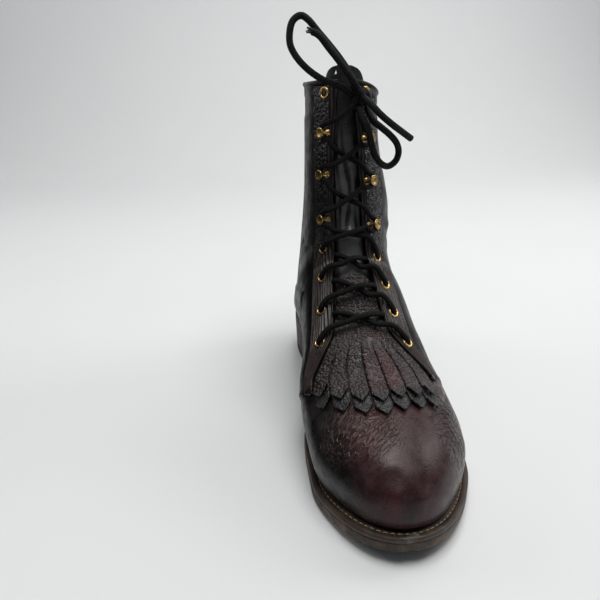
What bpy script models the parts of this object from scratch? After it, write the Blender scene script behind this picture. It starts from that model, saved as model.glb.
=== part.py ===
# Packer boot for the left foot, standing empty on its sole.
# Metres, +Z up. The toe points to -Y, the heel to +Y, the outer (lateral) side to +X.
# The origin lies on the floor, under the middle of the boot's length and width.
import math

import bmesh
import bpy
import numpy as np

# Driving sizes of the sole
OUTSOLE_LENGTH = 0.292
BALL_WIDTH = 0.104
HEEL_HEIGHT = 0.0280
TOE_SPRING = 0.0080
OUTSOLE_THICKNESS = 0.0055
WELT_THICKNESS = 0.0032
TOP_LIFT_THICKNESS = 0.0060
INSOLE_THICKNESS = 0.0030
TOE_SWING = 0.0095
HEEL_UNDERCUT = 0.0040
WELT_INSET = 0.0058
SEAT_INSET = 0.0028

# Driving sizes of the upper
RIM_HEIGHT = 0.2300
INSTEP_HEIGHT = 0.1120
WALL = 0.0022
RIDGE_SHIFT = 0.0100
BEAD_HEIGHT = 0.0036
BEAD_PROUD = 0.0015
RIM_DIP_LATERAL = 0.0075
RIM_DIP_MEDIAL = 0.0010

# Overlays, tongue and fringe
FACING_THICKNESS = 0.0014
FACING_LIFT_AT_FRINGE = 0.0017
TONGUE_THICKNESS = 0.0022
TONGUE_RISE = 0.0090
FRINGE_THICKNESS = 0.0009
FRINGE_STRIPS = 7
FRINGE_LAYER_STEP = 0.0080
SLIT_WIDTH = 0.0009

# Metal and lace
EYELET_OUTER = 0.0088
EYELET_HOLE = 0.0046
EYELET_HEIGHT = 0.0010
HOOK_HEAD = 0.0074
HOOK_HEIGHT = 0.0076
HOOK_SHEET = 0.0009
LACE_DIAMETER = 0.0042
LACE_SIDES = 6

# Clearances
SEAT_GAP = 0.0003
SHEET_GAP = 0.0004
EDGE_GAP = 0.0006
EYELET_SEAT = 0.0008

SOLE_EDGE = OUTSOLE_THICKNESS + SEAT_GAP + WELT_THICKNESS
HEEL_SEAT = HEEL_HEIGHT + SOLE_EDGE
LACE_RADIUS = LACE_DIAMETER / 2

# Sole outline: share of the length from the toe, half widths as shares of the ball width
SOLE_COLUMNS = ("station", "medial", "lateral")
SOLE_ROWS = (
    (0.00, 0.385, 0.385),
    (0.10, 0.418, 0.418),
    (0.20, 0.458, 0.471),
    (0.30, 0.466, 0.514),
    (0.36, 0.455, 0.524),
    (0.45, 0.385, 0.497),
    (0.55, 0.280, 0.440),
    (0.65, 0.240, 0.385),
    (0.75, 0.255, 0.345),
    (0.85, 0.276, 0.335),
    (1.00, 0.280, 0.335),
)
TOE_ROUND = 0.22
TOE_POWER = 2.05
HEEL_ROUND = 0.115
HEEL_POWER = 2.10
SWING_END = 0.36
SPRING_END = 0.22
ARCH_START = 0.46
ARCH_END = 0.72
BREAST = 0.735
TIP_CUT = 0.0002
HEEL_SLACK = 1.5

# Upper sections, fanned from the toe's feather edge over the instep to the collar.
# front_y and back_y are shares of the length from the toe. front_rise is a share of the instep
# height above the sole, front_shaft a share of what is left up to the rim, back_rise a share of the
# height from heel seat to rim. medial and lateral are half widths as shares of the ball width,
# widest is the widest place from front to back, the powers round the front and the back.
SECTION_COLUMNS = ("front_y", "front_rise", "front_shaft", "back_y", "back_rise",
                   "medial", "lateral", "widest", "front_power", "back_power", "ridge", "vamp")
SECTION_ROWS = (
    (0.0200, 0.000, 0.00, 0.116, 0.000, 0.400, 0.400, 0.85, 2.10, 2.0, 0.95, 0.00),
    (0.0155, 0.065, 0.00, 0.127, 0.000, 0.400, 0.400, 0.85, 2.10, 2.0, 0.96, 0.00),
    (0.0220, 0.150, 0.00, 0.144, 0.000, 0.405, 0.410, 0.84, 2.10, 2.0, 0.97, 0.10),
    (0.0480, 0.250, 0.00, 0.168, 0.000, 0.420, 0.420, 0.82, 2.10, 2.0, 0.98, 0.35),
    (0.0930, 0.335, 0.00, 0.200, 0.000, 0.435, 0.435, 0.80, 2.10, 2.0, 1.00, 0.70),
    (0.1540, 0.398, 0.00, 0.240, 0.000, 0.450, 0.450, 0.76, 2.15, 2.0, 1.00, 1.00),
    (0.2230, 0.455, 0.00, 0.291, 0.000, 0.460, 0.472, 0.73, 2.20, 2.0, 1.00, 1.00),
    (0.2910, 0.527, 0.00, 0.353, 0.000, 0.462, 0.474, 0.72, 2.20, 2.0, 1.00, 1.00),
    (0.3560, 0.632, 0.00, 0.425, 0.000, 0.445, 0.452, 0.71, 2.25, 2.0, 1.00, 1.00),
    (0.4110, 0.762, 0.00, 0.510, 0.000, 0.392, 0.425, 0.70, 2.30, 2.0, 1.00, 1.00),
    (0.4550, 0.893, 0.00, 0.654, 0.000, 0.342, 0.390, 0.66, 2.30, 2.0, 1.00, 1.00),
    (0.4800, 0.980, 0.00, 0.791, 0.000, 0.322, 0.366, 0.62, 2.30, 2.0, 1.00, 1.00),
    (0.4970, 1.000, 0.065, 0.894, 0.000, 0.308, 0.358, 0.60, 2.30, 2.2, 1.00, 1.00),
    (0.5070, 1.000, 0.120, 0.949, 0.000, 0.286, 0.360, 0.59, 2.30, 2.4, 1.00, 1.00),
    (0.5170, 1.000, 0.165, 0.974, 0.000, 0.272, 0.366, 0.58, 2.30, 3.4, 1.00, 1.00),
    (0.5330, 1.000, 0.265, 0.986, 0.110, 0.252, 0.372, 0.56, 2.35, 3.0, 1.00, 1.00),
    (0.5460, 1.000, 0.376, 0.985, 0.245, 0.234, 0.368, 0.54, 2.40, 2.8, 1.00, 1.00),
    (0.5580, 1.000, 0.495, 0.966, 0.380, 0.226, 0.337, 0.53, 2.45, 2.6, 1.00, 1.00),
    (0.5680, 1.000, 0.624, 0.949, 0.535, 0.222, 0.290, 0.52, 2.50, 2.5, 1.00, 1.00),
    (0.5770, 1.000, 0.761, 0.950, 0.715, 0.220, 0.266, 0.52, 2.50, 2.5, 1.00, 1.00),
    (0.5840, 1.000, 0.890, 0.959, 0.918, 0.220, 0.262, 0.52, 2.50, 2.5, 1.00, 1.00),
    (0.5890, 1.000, 1.000, 0.966, 0.980, 0.220, 0.262, 0.52, 2.50, 2.5, 1.00, 1.00),
)
HEEL_ROW = 14
RIM_ROW = len(SECTION_ROWS) - 1

# Edges of the lace facings: section number, then distances from the ridge as shares of the ball
# width, inner and outer edge on the medial and on the lateral side
FACING_COLUMNS = ("section", "inner_medial", "outer_medial", "inner_lateral", "outer_lateral")
FACING_ROWS = (
    (6.90, 0.372, 0.410, 0.385, 0.430),
    (7.20, 0.345, 0.460, 0.318, 0.440),
    (7.50, 0.292, 0.455, 0.255, 0.408),
    (7.80, 0.240, 0.425, 0.205, 0.374),
    (8.20, 0.187, 0.375, 0.162, 0.342),
    (9.00, 0.158, 0.341, 0.138, 0.322),
    (10.0, 0.135, 0.317, 0.122, 0.306),
    (11.2, 0.115, 0.300, 0.104, 0.291),
    (14.7, 0.090, 0.284, 0.090, 0.284),
    (17.0, 0.082, 0.273, 0.082, 0.273),
    (19.3, 0.064, 0.254, 0.064, 0.254),
    (21.0, 0.048, 0.237, 0.048, 0.237),
)
TIP_SECTION = 6.90
THROAT_SECTION = 7.50
TOE_INNER_SHARE = 0.42
TOE_OUTER_SHARE = 0.66

# Rows and columns of the upper's mesh
MESH_ROWS = (0.0, 0.5, 1.0, 1.5, 2.1, 2.8, 3.6, 4.5, 5.3, 6.1, 6.9, 7.2, 7.5, 7.8, 8.2, 8.6, 9.0, 9.3,
             9.6, 9.85, 10.1, 10.35, 10.6, 11.0, 11.5, 12.2, 13.0, 13.5, 13.8, 14.0, 15.0, 16.0, 17.2,
             18.4, 19.4, 20.0, 20.6)
THROAT_CELLS = 3
FACING_CELLS = 2
SIDE_CELLS = 6
SIDE_CROWDING = 0.12

SIDES = {"medial": -1, "lateral": 1}


def smooth_curve(xs, ys, x):
    """Cubic curve through a table's points that doesn't overshoot between them."""
    xs = np.asarray(xs, float)
    ys = np.asarray(ys, float)
    step = np.diff(xs)
    slope = np.diff(ys) / step
    tangent = np.zeros_like(ys)
    tangent[0] = slope[0]
    tangent[-1] = slope[-1]
    for i in range(1, len(xs) - 1):
        if slope[i - 1] * slope[i] > 0:
            before = 2 * step[i] + step[i - 1]
            after = step[i] + 2 * step[i - 1]
            tangent[i] = (before + after) / (before / slope[i - 1] + after / slope[i])
    x = np.clip(np.asarray(x, float), xs[0], xs[-1])
    i = np.clip(np.searchsorted(xs, x, side="right") - 1, 0, len(xs) - 2)
    u = (x - xs[i]) / step[i]
    return (ys[i] * (1 + 2 * u) * (1 - u) ** 2 + ys[i + 1] * u * u * (3 - 2 * u)
            + step[i] * (tangent[i] * u * (1 - u) ** 2 - tangent[i + 1] * u * u * (1 - u)))


def column(rows, columns, name, x, key=None):
    """Value of a named column at x, where x is the key column or else the row's number."""
    xs = [row[columns.index(key)] for row in rows] if key else range(len(rows))
    return smooth_curve(list(xs), [row[columns.index(name)] for row in rows], x)


def ease(x):
    """Soft step from 0 to 1."""
    x = np.clip(x, 0.0, 1.0)
    return x * x * (3 - 2 * x)


def sole_share(y):
    return np.asarray(y, float) / OUTSOLE_LENGTH + 0.5


def toe_swing(y):
    """The toe's turn to the medial side, as an X shift of the centre line."""
    return -TOE_SWING * np.clip(1 - sole_share(y) / SWING_END, 0, 1) ** 1.5


def rounded_half(y, side, toe_y, heel_y, inset):
    """Half width of an outline with a round toe at toe_y and a round heel at heel_y."""
    share = sole_share(y)
    name = "medial" if side < 0 else "lateral"
    half = column(SOLE_ROWS, SOLE_COLUMNS, name, share, "station") * BALL_WIDTH - inset
    toe_reach = TOE_ROUND * OUTSOLE_LENGTH - (toe_y + OUTSOLE_LENGTH / 2)
    heel_reach = HEEL_ROUND * OUTSOLE_LENGTH - (OUTSOLE_LENGTH / 2 - heel_y)
    toe = np.clip(1 - (y - toe_y) / toe_reach, 0, 1)
    heel = np.clip(1 - (heel_y - y) / heel_reach, 0, 1)
    return half * (1 - toe ** TOE_POWER) ** (1 / TOE_POWER) * (1 - heel ** HEEL_POWER) ** (1 / HEEL_POWER)


def sole_half(y, side, inset=0.0):
    end = OUTSOLE_LENGTH / 2 - inset
    return rounded_half(y, side, -end, end, inset)


FEATHER_TOE = -OUTSOLE_LENGTH / 2 + WELT_INSET
FEATHER_HEEL = SECTION_ROWS[HEEL_ROW][SECTION_COLUMNS.index("back_y")] * OUTSOLE_LENGTH - OUTSOLE_LENGTH / 2


def feather_half(y, side, inward=0.0):
    """Half width of the line where the upper meets the welt, or of one that lies inside it."""
    inset = WELT_INSET + (SEAT_INSET - WELT_INSET) * ease((sole_share(y) - 0.40) / 0.18)
    return rounded_half(y, side, FEATHER_TOE + inward, FEATHER_HEEL - HEEL_SLACK * inward, inset + inward)


def sole_bottom(y):
    """Height of the outsole's underside: toe spring, flat forefoot, arch, heel seat."""
    share = sole_share(y)
    spring = TOE_SPRING * np.clip(1 - share / SPRING_END, 0, 1) ** 1.8
    return spring + HEEL_HEIGHT * ease((share - ARCH_START) / (ARCH_END - ARCH_START))


def sole_top(y):
    return sole_bottom(y) + SOLE_EDGE


LAST_Y = np.linspace(-OUTSOLE_LENGTH / 2, OUTSOLE_LENGTH / 2, 400)
REACH_LATERAL = float(np.max(toe_swing(LAST_Y) + sole_half(LAST_Y, 1)))
REACH_MEDIAL = float(np.min(toe_swing(LAST_Y) - sole_half(LAST_Y, -1)))
ORIGIN_X = (REACH_LATERAL + REACH_MEDIAL) / 2


def section(row, side, count=140):
    """Points of one half section of the upper, from the ridge at the front to its far end."""
    value = {name: float(column(SECTION_ROWS, SECTION_COLUMNS, name, row)) for name in SECTION_COLUMNS}
    front_y = (value["front_y"] - 0.5) * OUTSOLE_LENGTH
    back_y = (value["back_y"] - 0.5) * OUTSOLE_LENGTH
    ball_y = (SWING_END - 0.5) * OUTSOLE_LENGTH
    base = float(sole_top(min(front_y, ball_y))) + SEAT_GAP
    front_z = base + value["front_rise"] * INSTEP_HEIGHT
    front_z += value["front_shaft"] * (RIM_HEIGHT - SOLE_EDGE - SEAT_GAP - INSTEP_HEIGHT)
    back_z = float(sole_top(back_y)) + SEAT_GAP + value["back_rise"] * (RIM_HEIGHT - HEEL_SEAT)

    t = (1 - np.cos(np.linspace(0, np.pi, count))) / 2
    t = t ** 1.15
    closed = row >= HEEL_ROW
    end = 0.0 if closed else float(feather_half(back_y, side))
    name = "medial" if side < 0 else "lateral"
    half = max(value[name] * BALL_WIDTH, end)
    widest = value["widest"]
    front = np.clip(1 - t / widest, 0, 1) ** value["front_power"]
    rear = np.clip((t - widest) / (1 - widest), 0, 1) ** value["back_power"]
    keep = end / half
    body = half * np.where(t <= widest, (1 - front) ** (1 / value["front_power"]),
                           keep + (1 - keep) * (1 - rear) ** (1 / value["back_power"]))
    stretched = FEATHER_TOE + t * (back_y - FEATHER_TOE)
    toe = feather_half(stretched, side)
    across = (1 - value["vamp"]) * toe + value["vamp"] * body

    ridge = -RIDGE_SHIFT * value["ridge"]
    axis_vamp = ridge + (float(toe_swing(back_y)) - ridge) * (1 - (1 - t) ** 1.6)
    axis = (1 - value["vamp"]) * toe_swing(stretched) + value["vamp"] * axis_vamp
    dip = RIM_DIP_LATERAL if side > 0 else RIM_DIP_MEDIAL
    sink = dip * ease((row - 18.0) / (RIM_ROW - 18.0)) * np.sin(np.pi * t ** 0.75) ** 1.2
    y = front_y + t * (back_y - front_y)
    z = front_z + t * (back_z - front_z) - sink
    if row < 1e-6:
        z = sole_top(y) + SEAT_GAP
    return np.stack([axis + side * across, y, z], axis=1)


class Last:
    """The outer surface of the upper, read by section number and distance from the ridge."""
    ROWS_PER_SECTION = 8
    SAMPLES = 160

    def __init__(self):
        count = RIM_ROW * self.ROWS_PER_SECTION + 1
        self.rows = np.linspace(0, RIM_ROW, count)
        self.points = {}
        self.length = {}
        self.normals = {}
        for name, side in SIDES.items():
            grid = []
            lengths = []
            for row in self.rows:
                points = section(row, side)
                steps = np.linalg.norm(np.diff(points, axis=0), axis=1)
                along = np.concatenate([[0], np.cumsum(steps)])
                wanted = np.linspace(0, along[-1], self.SAMPLES)
                grid.append(np.stack([np.interp(wanted, along, points[:, k]) for k in range(3)], axis=1))
                lengths.append(along[-1])
            grid = np.array(grid)
            self.points[side] = grid
            self.length[side] = np.array(lengths)
            across = np.gradient(grid, axis=1)
            upward = np.gradient(grid, axis=0)
            across[:, 0] = np.array([side, 0, 0]) * np.linalg.norm(across[:, 0], axis=1)[:, None]
            heel = self.rows >= HEEL_ROW
            across[heel, -1] = np.array([-side, 0, 0]) * np.linalg.norm(across[heel, -1], axis=1)[:, None]
            normal = np.cross(across, upward) * side
            self.normals[side] = normal / np.maximum(np.linalg.norm(normal, axis=2)[:, :, None], 1e-12)

    def read(self, table, row, share):
        i = np.clip(row * self.ROWS_PER_SECTION, 0, len(self.rows) - 1.000001)
        j = np.clip(share, 0, 1) * (self.SAMPLES - 1.000001)
        i0, j0 = int(i), int(j)
        u, v = i - i0, j - j0
        return ((1 - u) * ((1 - v) * table[i0, j0] + v * table[i0, j0 + 1])
                + u * ((1 - v) * table[i0 + 1, j0] + v * table[i0 + 1, j0 + 1]))

    def girth(self, row, side):
        return float(np.interp(row, self.rows, self.length[side]))

    def point(self, row, side, distance, lift=0.0):
        """Point of the surface at a distance from the ridge, raised along the normal."""
        share = distance / self.girth(row, side)
        place = self.read(self.points[side], row, share)
        normal = self.read(self.normals[side], row, share)
        normal = normal / np.linalg.norm(normal)
        extra = row - RIM_ROW
        if extra > 0:
            step = self.read(self.points[side], RIM_ROW, share) - self.read(self.points[side], RIM_ROW - 0.5, share)
            place = place + step * extra * 2
        return place + normal * lift

    def normal(self, row, side, distance):
        normal = self.read(self.normals[side], row, distance / self.girth(row, side))
        return normal / np.linalg.norm(normal)


LAST = Last()


def facing_edge(row, side, edge):
    """Distance of the facing's inner or outer edge from the ridge; further down, a plain mesh line."""
    name = edge + ("_medial" if side < 0 else "_lateral")
    if row >= TIP_SECTION:
        return float(column(FACING_ROWS, FACING_COLUMNS, name, row, "section")) * BALL_WIDTH
    at_tip = float(column(FACING_ROWS, FACING_COLUMNS, name, TIP_SECTION, "section")) * BALL_WIDTH
    share = at_tip / LAST.girth(TIP_SECTION, side)
    toe = TOE_INNER_SHARE if edge == "inner" else TOE_OUTER_SHARE
    blend = float(ease((TIP_SECTION - row) / 2.4))
    return LAST.girth(row, side) * (share + (toe - share) * blend)


def columns_at(row, side):
    """Distances from the ridge of the upper's mesh lines at one section."""
    inner = facing_edge(row, side, "inner")
    outer = facing_edge(row, side, "outer")
    end = LAST.girth(row, side)
    first = [inner * k / THROAT_CELLS for k in range(THROAT_CELLS)]
    middle = [inner + (outer - inner) * k / FACING_CELLS for k in range(FACING_CELLS)]
    shares = [k / SIDE_CELLS + SIDE_CROWDING * math.sin(math.pi * k / SIDE_CELLS) for k in range(SIDE_CELLS + 1)]
    rest = [outer + (end - outer) * share for share in shares]
    return first + middle + rest


MATERIALS = {
    "burgundy_leather": ((0.060, 0.010, 0.012), 0.38, 0.0),
    "black_leather": ((0.012, 0.011, 0.012), 0.35, 0.0),
    "sole_leather": ((0.090, 0.045, 0.025), 0.55, 0.0),
    "heel_rubber": ((0.015, 0.015, 0.015), 0.75, 0.0),
    "insole_leather": ((0.32, 0.20, 0.11), 0.7, 0.0),
    "brass": ((0.80, 0.55, 0.22), 0.28, 1.0),
    "lace_cotton": ((0.010, 0.010, 0.011), 0.6, 0.0),
}


def material(name):
    """Principled material of one of the boot's finishes."""
    found = bpy.data.materials.get(name)
    if found:
        return found
    color, roughness, metallic = MATERIALS[name]
    found = bpy.data.materials.new(name)
    found.use_nodes = True
    shader = found.node_tree.nodes["Principled BSDF"]
    shader.inputs["Base Color"].default_value = (*color, 1)
    shader.inputs["Roughness"].default_value = roughness
    shader.inputs["Metallic"].default_value = metallic
    return found


def add_object(name, mesh, finish):
    mesh.materials.append(material(finish))
    thing = bpy.data.objects.new(name, mesh)
    bpy.context.scene.collection.objects.link(thing)
    return thing


def mesh_from(name, points, faces, finish, smooth=True):
    """Closed mesh object from points in the boot's frame and outward faces."""
    mesh = bpy.data.meshes.new(name)
    shifted = [(p[0] - ORIGIN_X, p[1], p[2]) for p in points]
    mesh.from_pydata(shifted, [], faces)
    mesh.validate()
    thing = add_object(name, mesh, finish)
    if smooth:
        mesh.shade_smooth()
        mesh.set_sharp_from_angle(angle=math.radians(38))
    return thing


def thick_sheet(name, outer, inner, cells, finish):
    """Closed solid between two layers of points, with walls along the sheet's free edges."""
    keys = sorted({key for cell in cells for key in cell})
    index = {key: i for i, key in enumerate(keys)}
    points = [outer[key] for key in keys] + [inner[key] for key in keys]
    count = len(keys)
    faces = []
    edges = {}
    for cell in cells:
        ring = [index[key] for key in cell]
        for k in range(1, len(ring) - 1):
            triangle = [ring[0], ring[k], ring[k + 1]]
            faces.append(triangle)
            faces.append([i + count for i in reversed(triangle)])
        for a, b in zip(ring, ring[1:] + ring[:1]):
            edges[(a, b)] = True
    for a, b in edges:
        if (b, a) not in edges:
            faces.append([b, a, a + count, b + count])
    return mesh_from(name, points, faces, finish)


def oriented(cell, side):
    return cell if side > 0 else tuple(reversed(cell))


def upper():
    """Vamp, quarters and shaft as one wall, open at throat, collar and underneath."""
    bead = BEAD_HEIGHT / (RIM_HEIGHT * 0.053)
    rows = [(row, 0.0) for row in MESH_ROWS]
    rows += [(RIM_ROW - bead, 0.0), (RIM_ROW - bead * 0.93, BEAD_PROUD * 0.8),
             (RIM_ROW - bead * 0.5, BEAD_PROUD), (RIM_ROW, BEAD_PROUD * 0.7)]
    last_column = THROAT_CELLS + FACING_CELLS + SIDE_CELLS
    throat = [i for i, (row, proud) in enumerate(rows) if row <= THROAT_SECTION][-1]
    outer, inner, cells = {}, {}, []

    def key(i, side, j):
        joined = (j == 0 and i <= throat) or (j == last_column and rows[i][0] >= HEEL_ROW)
        return (i, 0 if joined else side, j)

    for side in SIDES.values():
        for i, (row, proud) in enumerate(rows):
            for j, distance in enumerate(columns_at(row, side)):
                place = LAST.point(row, side, distance, proud)
                under = LAST.point(row, side, distance, -WALL)
                feather = i == 0 or (j == last_column and row < HEEL_ROW)
                if feather or key(i, side, j) == (i, 0, j) and row == HEEL_ROW:
                    under[2] = place[2]
                if key(i, side, j)[1] == 0:
                    joined_x = (place[0] + LAST.point(row, -side, distance if j == 0 else LAST.girth(row, -side),
                                                      proud)[0]) / 2
                    under[0] += joined_x - place[0]
                    place[0] = joined_x
                outer[key(i, side, j)] = place
                inner[key(i, side, j)] = under
        for i in range(len(rows) - 1):
            first = 0 if i < throat else THROAT_CELLS
            for j in range(first, last_column):
                cell = (key(i, side, j), key(i, side, j + 1), key(i + 1, side, j + 1), key(i + 1, side, j))
                cells.append(oriented(cell, side))
    return thick_sheet("upper", outer, inner, cells, "burgundy_leather")


# The facing lies higher over the fringe up to this section, and settles over the next ones
LIFT_END_ROW = 8.2
LIFT_FADE_ROWS = 2.6


def facing_top(row, share=0.4):
    """Height of the facing's top over the upper: thicker at the inner edge, where it meets the fringe."""
    raised = FACING_LIFT_AT_FRINGE * float(1 - ease((row - LIFT_END_ROW) / LIFT_FADE_ROWS)) * (1 - share)
    return SEAT_GAP + FACING_THICKNESS + raised


def facing(name, side):
    """Lace facing strip with its flared and tapered lower tip."""
    rows = [row for row in MESH_ROWS if row >= TIP_SECTION]
    rows.append(RIM_ROW - BEAD_HEIGHT / (RIM_HEIGHT * 0.053) - 0.05)
    outer, inner, cells = {}, {}, []
    for i, row in enumerate(rows):
        lines = columns_at(row, side)[THROAT_CELLS:THROAT_CELLS + FACING_CELLS + 1]
        for j, distance in enumerate(lines):
            outer[(i, j)] = LAST.point(row, side, distance, facing_top(row, j / FACING_CELLS))
            inner[(i, j)] = LAST.point(row, side, distance, SEAT_GAP)
    for i in range(len(rows) - 1):
        for j in range(FACING_CELLS):
            cells.append(oriented(((i, j), (i, j + 1), (i + 1, j + 1), (i + 1, j)), side))
    return thick_sheet(name, outer, inner, cells, "burgundy_leather")


# The tongue's upper end: height as a share of its rise over the collar, width as a share of the
# facings' outer edges, and how much further it lies inside
TONGUE_END_COLUMNS = ("rise", "width", "inside")
TONGUE_END_ROWS = (
    (-1.20, 0.92, 0.0004),
    (-0.40, 0.82, 0.0007),
    (0.10, 0.74, 0.0008),
    (0.60, 0.62, 0.0008),
    (0.88, 0.44, 0.0008),
    (1.00, 0.22, 0.0008),
)


def tongue():
    """Tongue under facings and throat, with a half-round top above the collar."""
    rise = TONGUE_RISE / (RIM_HEIGHT * 0.053)
    count = THROAT_CELLS + FACING_CELLS
    outer, inner, cells = {}, {}, []
    places = [(row, 1.0, 0.0) for row in MESH_ROWS if 7.2 <= row < 19.5]
    places += [(RIM_ROW + rise * share, width, inside) for share, width, inside in TONGUE_END_ROWS]
    for side in SIDES.values():
        for i, (row, width, inside) in enumerate(places):
            for j, distance in enumerate(columns_at(min(row, RIM_ROW), side)[:count + 1]):
                key = (i, 0 if j == 0 else side, j)
                lift = -WALL - SHEET_GAP - inside
                outer[key] = LAST.point(row, side, distance * width, lift)
                inner[key] = LAST.point(row, side, distance * width, lift - TONGUE_THICKNESS)
        for i in range(len(places) - 1):
            for j in range(count):
                cell = tuple((a, 0 if b == 0 else side, b) for a, b in
                             ((i, j), (i, j + 1), (i + 1, j + 1), (i + 1, j)))
                cells.append(oriented(cell, side))
    return thick_sheet("tongue", outer, inner, cells, "black_leather")


# Fringe: half widths from the ridge at each section, as shares of the ball width, and its height
# over the upper's surface in layer thicknesses
FRINGE_COLUMNS = ("section", "medial", "lateral", "height")
FRINGE_ROWS = (
    (5.30, 0.378, 0.368, 0.60),
    (5.80, 0.374, 0.364, 0.60),
    (6.40, 0.368, 0.354, 0.60),
    (6.90, 0.352, 0.334, 0.60),
    (7.20, 0.325, 0.298, 0.60),
    (7.50, 0.274, 0.240, 0.60),
    (7.80, 0.226, 0.193, 0.45),
    (8.20, 0.176, 0.151, -0.40),
    (8.60, 0.160, 0.138, -1.40),
    (9.00, 0.145, 0.126, -2.00),
    (9.50, 0.120, 0.118, -2.10),
    (10.0, 0.080, 0.078, -2.10),
    (10.2, 0.036, 0.036, -2.10),
)
STRIP_ROWS = (7.50, 7.20, 6.90, 6.40)
BODY_ROWS = (10.2, 9.9, 9.3, 8.8, 8.2, 7.8)
STRIP_ENDS = (6.42, 6.04, 5.80, 5.68, 5.78, 5.86, 5.98)
STRIP_POINT = 0.28


def fringe_half(row, side):
    name = "medial" if side < 0 else "lateral"
    return float(column(FRINGE_ROWS, FRINGE_COLUMNS, name, row, "section")) * BALL_WIDTH


def fringe_point(row, across, lift):
    """Point of a fringe layer: across runs from -1, the medial edge, to 1, the lateral edge."""
    side = 1 if across >= 0 else -1
    height = float(column(FRINGE_ROWS, FRINGE_COLUMNS, "height", row, "section")) * FRINGE_THICKNESS
    return LAST.point(row, side, abs(across) * fringe_half(row, side), height + lift)


def fringe(name, layer, finish):
    """One layer of the fringed false tongue: a body cut into pointed strips at its lower end."""
    lift = layer * (FRINGE_THICKNESS + SHEET_GAP)
    extra = 0.0 if layer else FRINGE_LAYER_STEP / (OUTSOLE_LENGTH * 0.068)
    outer, inner, cells = {}, {}, []
    per_strip = 2
    lines = FRINGE_STRIPS * per_strip

    def add(key, row, across):
        outer[key] = fringe_point(row, across, lift + FRINGE_THICKNESS)
        inner[key] = fringe_point(row, across, lift)
        return key

    def body_key(i, j):
        return ("body", i, j)

    for i, row in enumerate(BODY_ROWS):
        for j in range(lines + 1):
            add(body_key(i, j), row, 2 * j / lines - 1)
    for i in range(len(BODY_ROWS) - 1):
        for j in range(lines):
            cells.append((body_key(i + 1, j), body_key(i + 1, j + 1), body_key(i, j + 1), body_key(i, j)))
    bottom = len(BODY_ROWS) - 1
    for strip in range(FRINGE_STRIPS):
        centre = 2 * (strip + 0.5) / FRINGE_STRIPS - 1
        end = STRIP_ENDS[strip] - extra
        shoulder = end + STRIP_POINT
        rows = [row for row in STRIP_ROWS if row > shoulder + 0.1] + [shoulder]
        above = [body_key(bottom, strip * per_strip + k) for k in range(per_strip + 1)]
        for i, row in enumerate(rows):
            half = max(fringe_half(row, 1), fringe_half(row, -1))
            slack = SLIT_WIDTH / half / 2 * (0.35 + 0.65 * i / (len(rows) - 1))
            low = 2 * strip / FRINGE_STRIPS - 1 + (slack if strip else 0)
            high = 2 * (strip + 1) / FRINGE_STRIPS - 1 - (slack if strip < FRINGE_STRIPS - 1 else 0)
            ring = [add(("strip", strip, i, k), row, low + (high - low) * k / per_strip)
                    for k in range(per_strip + 1)]
            for k in range(per_strip):
                cells.append((ring[k], ring[k + 1], above[k + 1], above[k]))
            above = ring
        tip = add(("tip", strip), end, centre)
        for k in range(per_strip):
            cells.append((tip, above[k + 1], above[k]))
    return thick_sheet(name, outer, inner, cells, finish)


def outline_stations(start, end, count):
    """Y places along the sole, closer together towards both ends."""
    spread = (1 - np.cos(np.linspace(0, np.pi, count))) / 2
    return start + (end - start) * (0.35 * np.linspace(0, 1, count) + 0.65 * spread)


SOLE_STATIONS = 38


def sole_slab(name, low, high, start, end, half, inset, finish):
    """Slab that follows an outline and the sole's bottom line between two heights above it."""
    stations = outline_stations(start + TIP_CUT, end - TIP_CUT, SOLE_STATIONS)
    points, faces = [], []
    for y in stations:
        bottom = float(sole_bottom(y))
        middle = float(toe_swing(y))
        left = middle - float(half(y, -1, inset))
        right = middle + float(half(y, 1, inset))
        points += [(left, y, bottom + low), (right, y, bottom + low), (right, y, bottom + high), (left, y, bottom + high)]
    for i in range(len(stations) - 1):
        a, b = 4 * i, 4 * i + 4
        for k in range(4):
            faces.append([b + k, b + (k + 1) % 4, a + (k + 1) % 4, a + k])
    faces.append([0, 1, 2, 3])
    last = 4 * (len(stations) - 1)
    faces.append([last + 3, last + 2, last + 1, last])
    return mesh_from(name, points, faces, finish)


def heel_outline(lean, trim):
    """Ring of points round the heel: breast, sides and back, leaning forward at the back."""
    start = (BREAST - 0.5) * OUTSOLE_LENGTH
    end = OUTSOLE_LENGTH / 2 - TIP_CUT
    stations = start + (end - start) * np.sin(np.linspace(0, np.pi / 2, 12))
    ring = []
    for side in (-1, 1):
        line = []
        for y in stations:
            along = (y - start) / (end - start)
            line.append((side * (float(sole_half(y, side)) - trim * along), y - lean * along))
        ring += line if side < 0 else list(reversed(line))
    return ring


def heel_block(name, low, high, finish):
    """Level slice of the heel between two heights."""
    def ring_at(z):
        down = 1 - z / HEEL_HEIGHT
        return [(x, y, z) for x, y in heel_outline(HEEL_UNDERCUT * down, HEEL_UNDERCUT * 0.5 * down)]
    lower, higher = ring_at(low), ring_at(high)
    count = len(lower)
    points = lower + higher
    faces = [list(range(count)), list(reversed(range(count, 2 * count)))]
    for i in range(count):
        j = (i + 1) % count
        faces.append([j, i, i + count, j + count])
    return mesh_from(name, points, faces, finish)


def frame_at(row, side, distance):
    """Local axes on the upper: away from the throat, up along it, and out of the surface."""
    normal = LAST.normal(row, side, distance)
    away = LAST.point(row, side, distance + 0.002) - LAST.point(row, side, distance - 0.002)
    away = away - normal * np.dot(away, normal)
    away = away / np.linalg.norm(away)
    upward = np.cross(normal, away) * side
    return away, upward, normal


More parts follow.
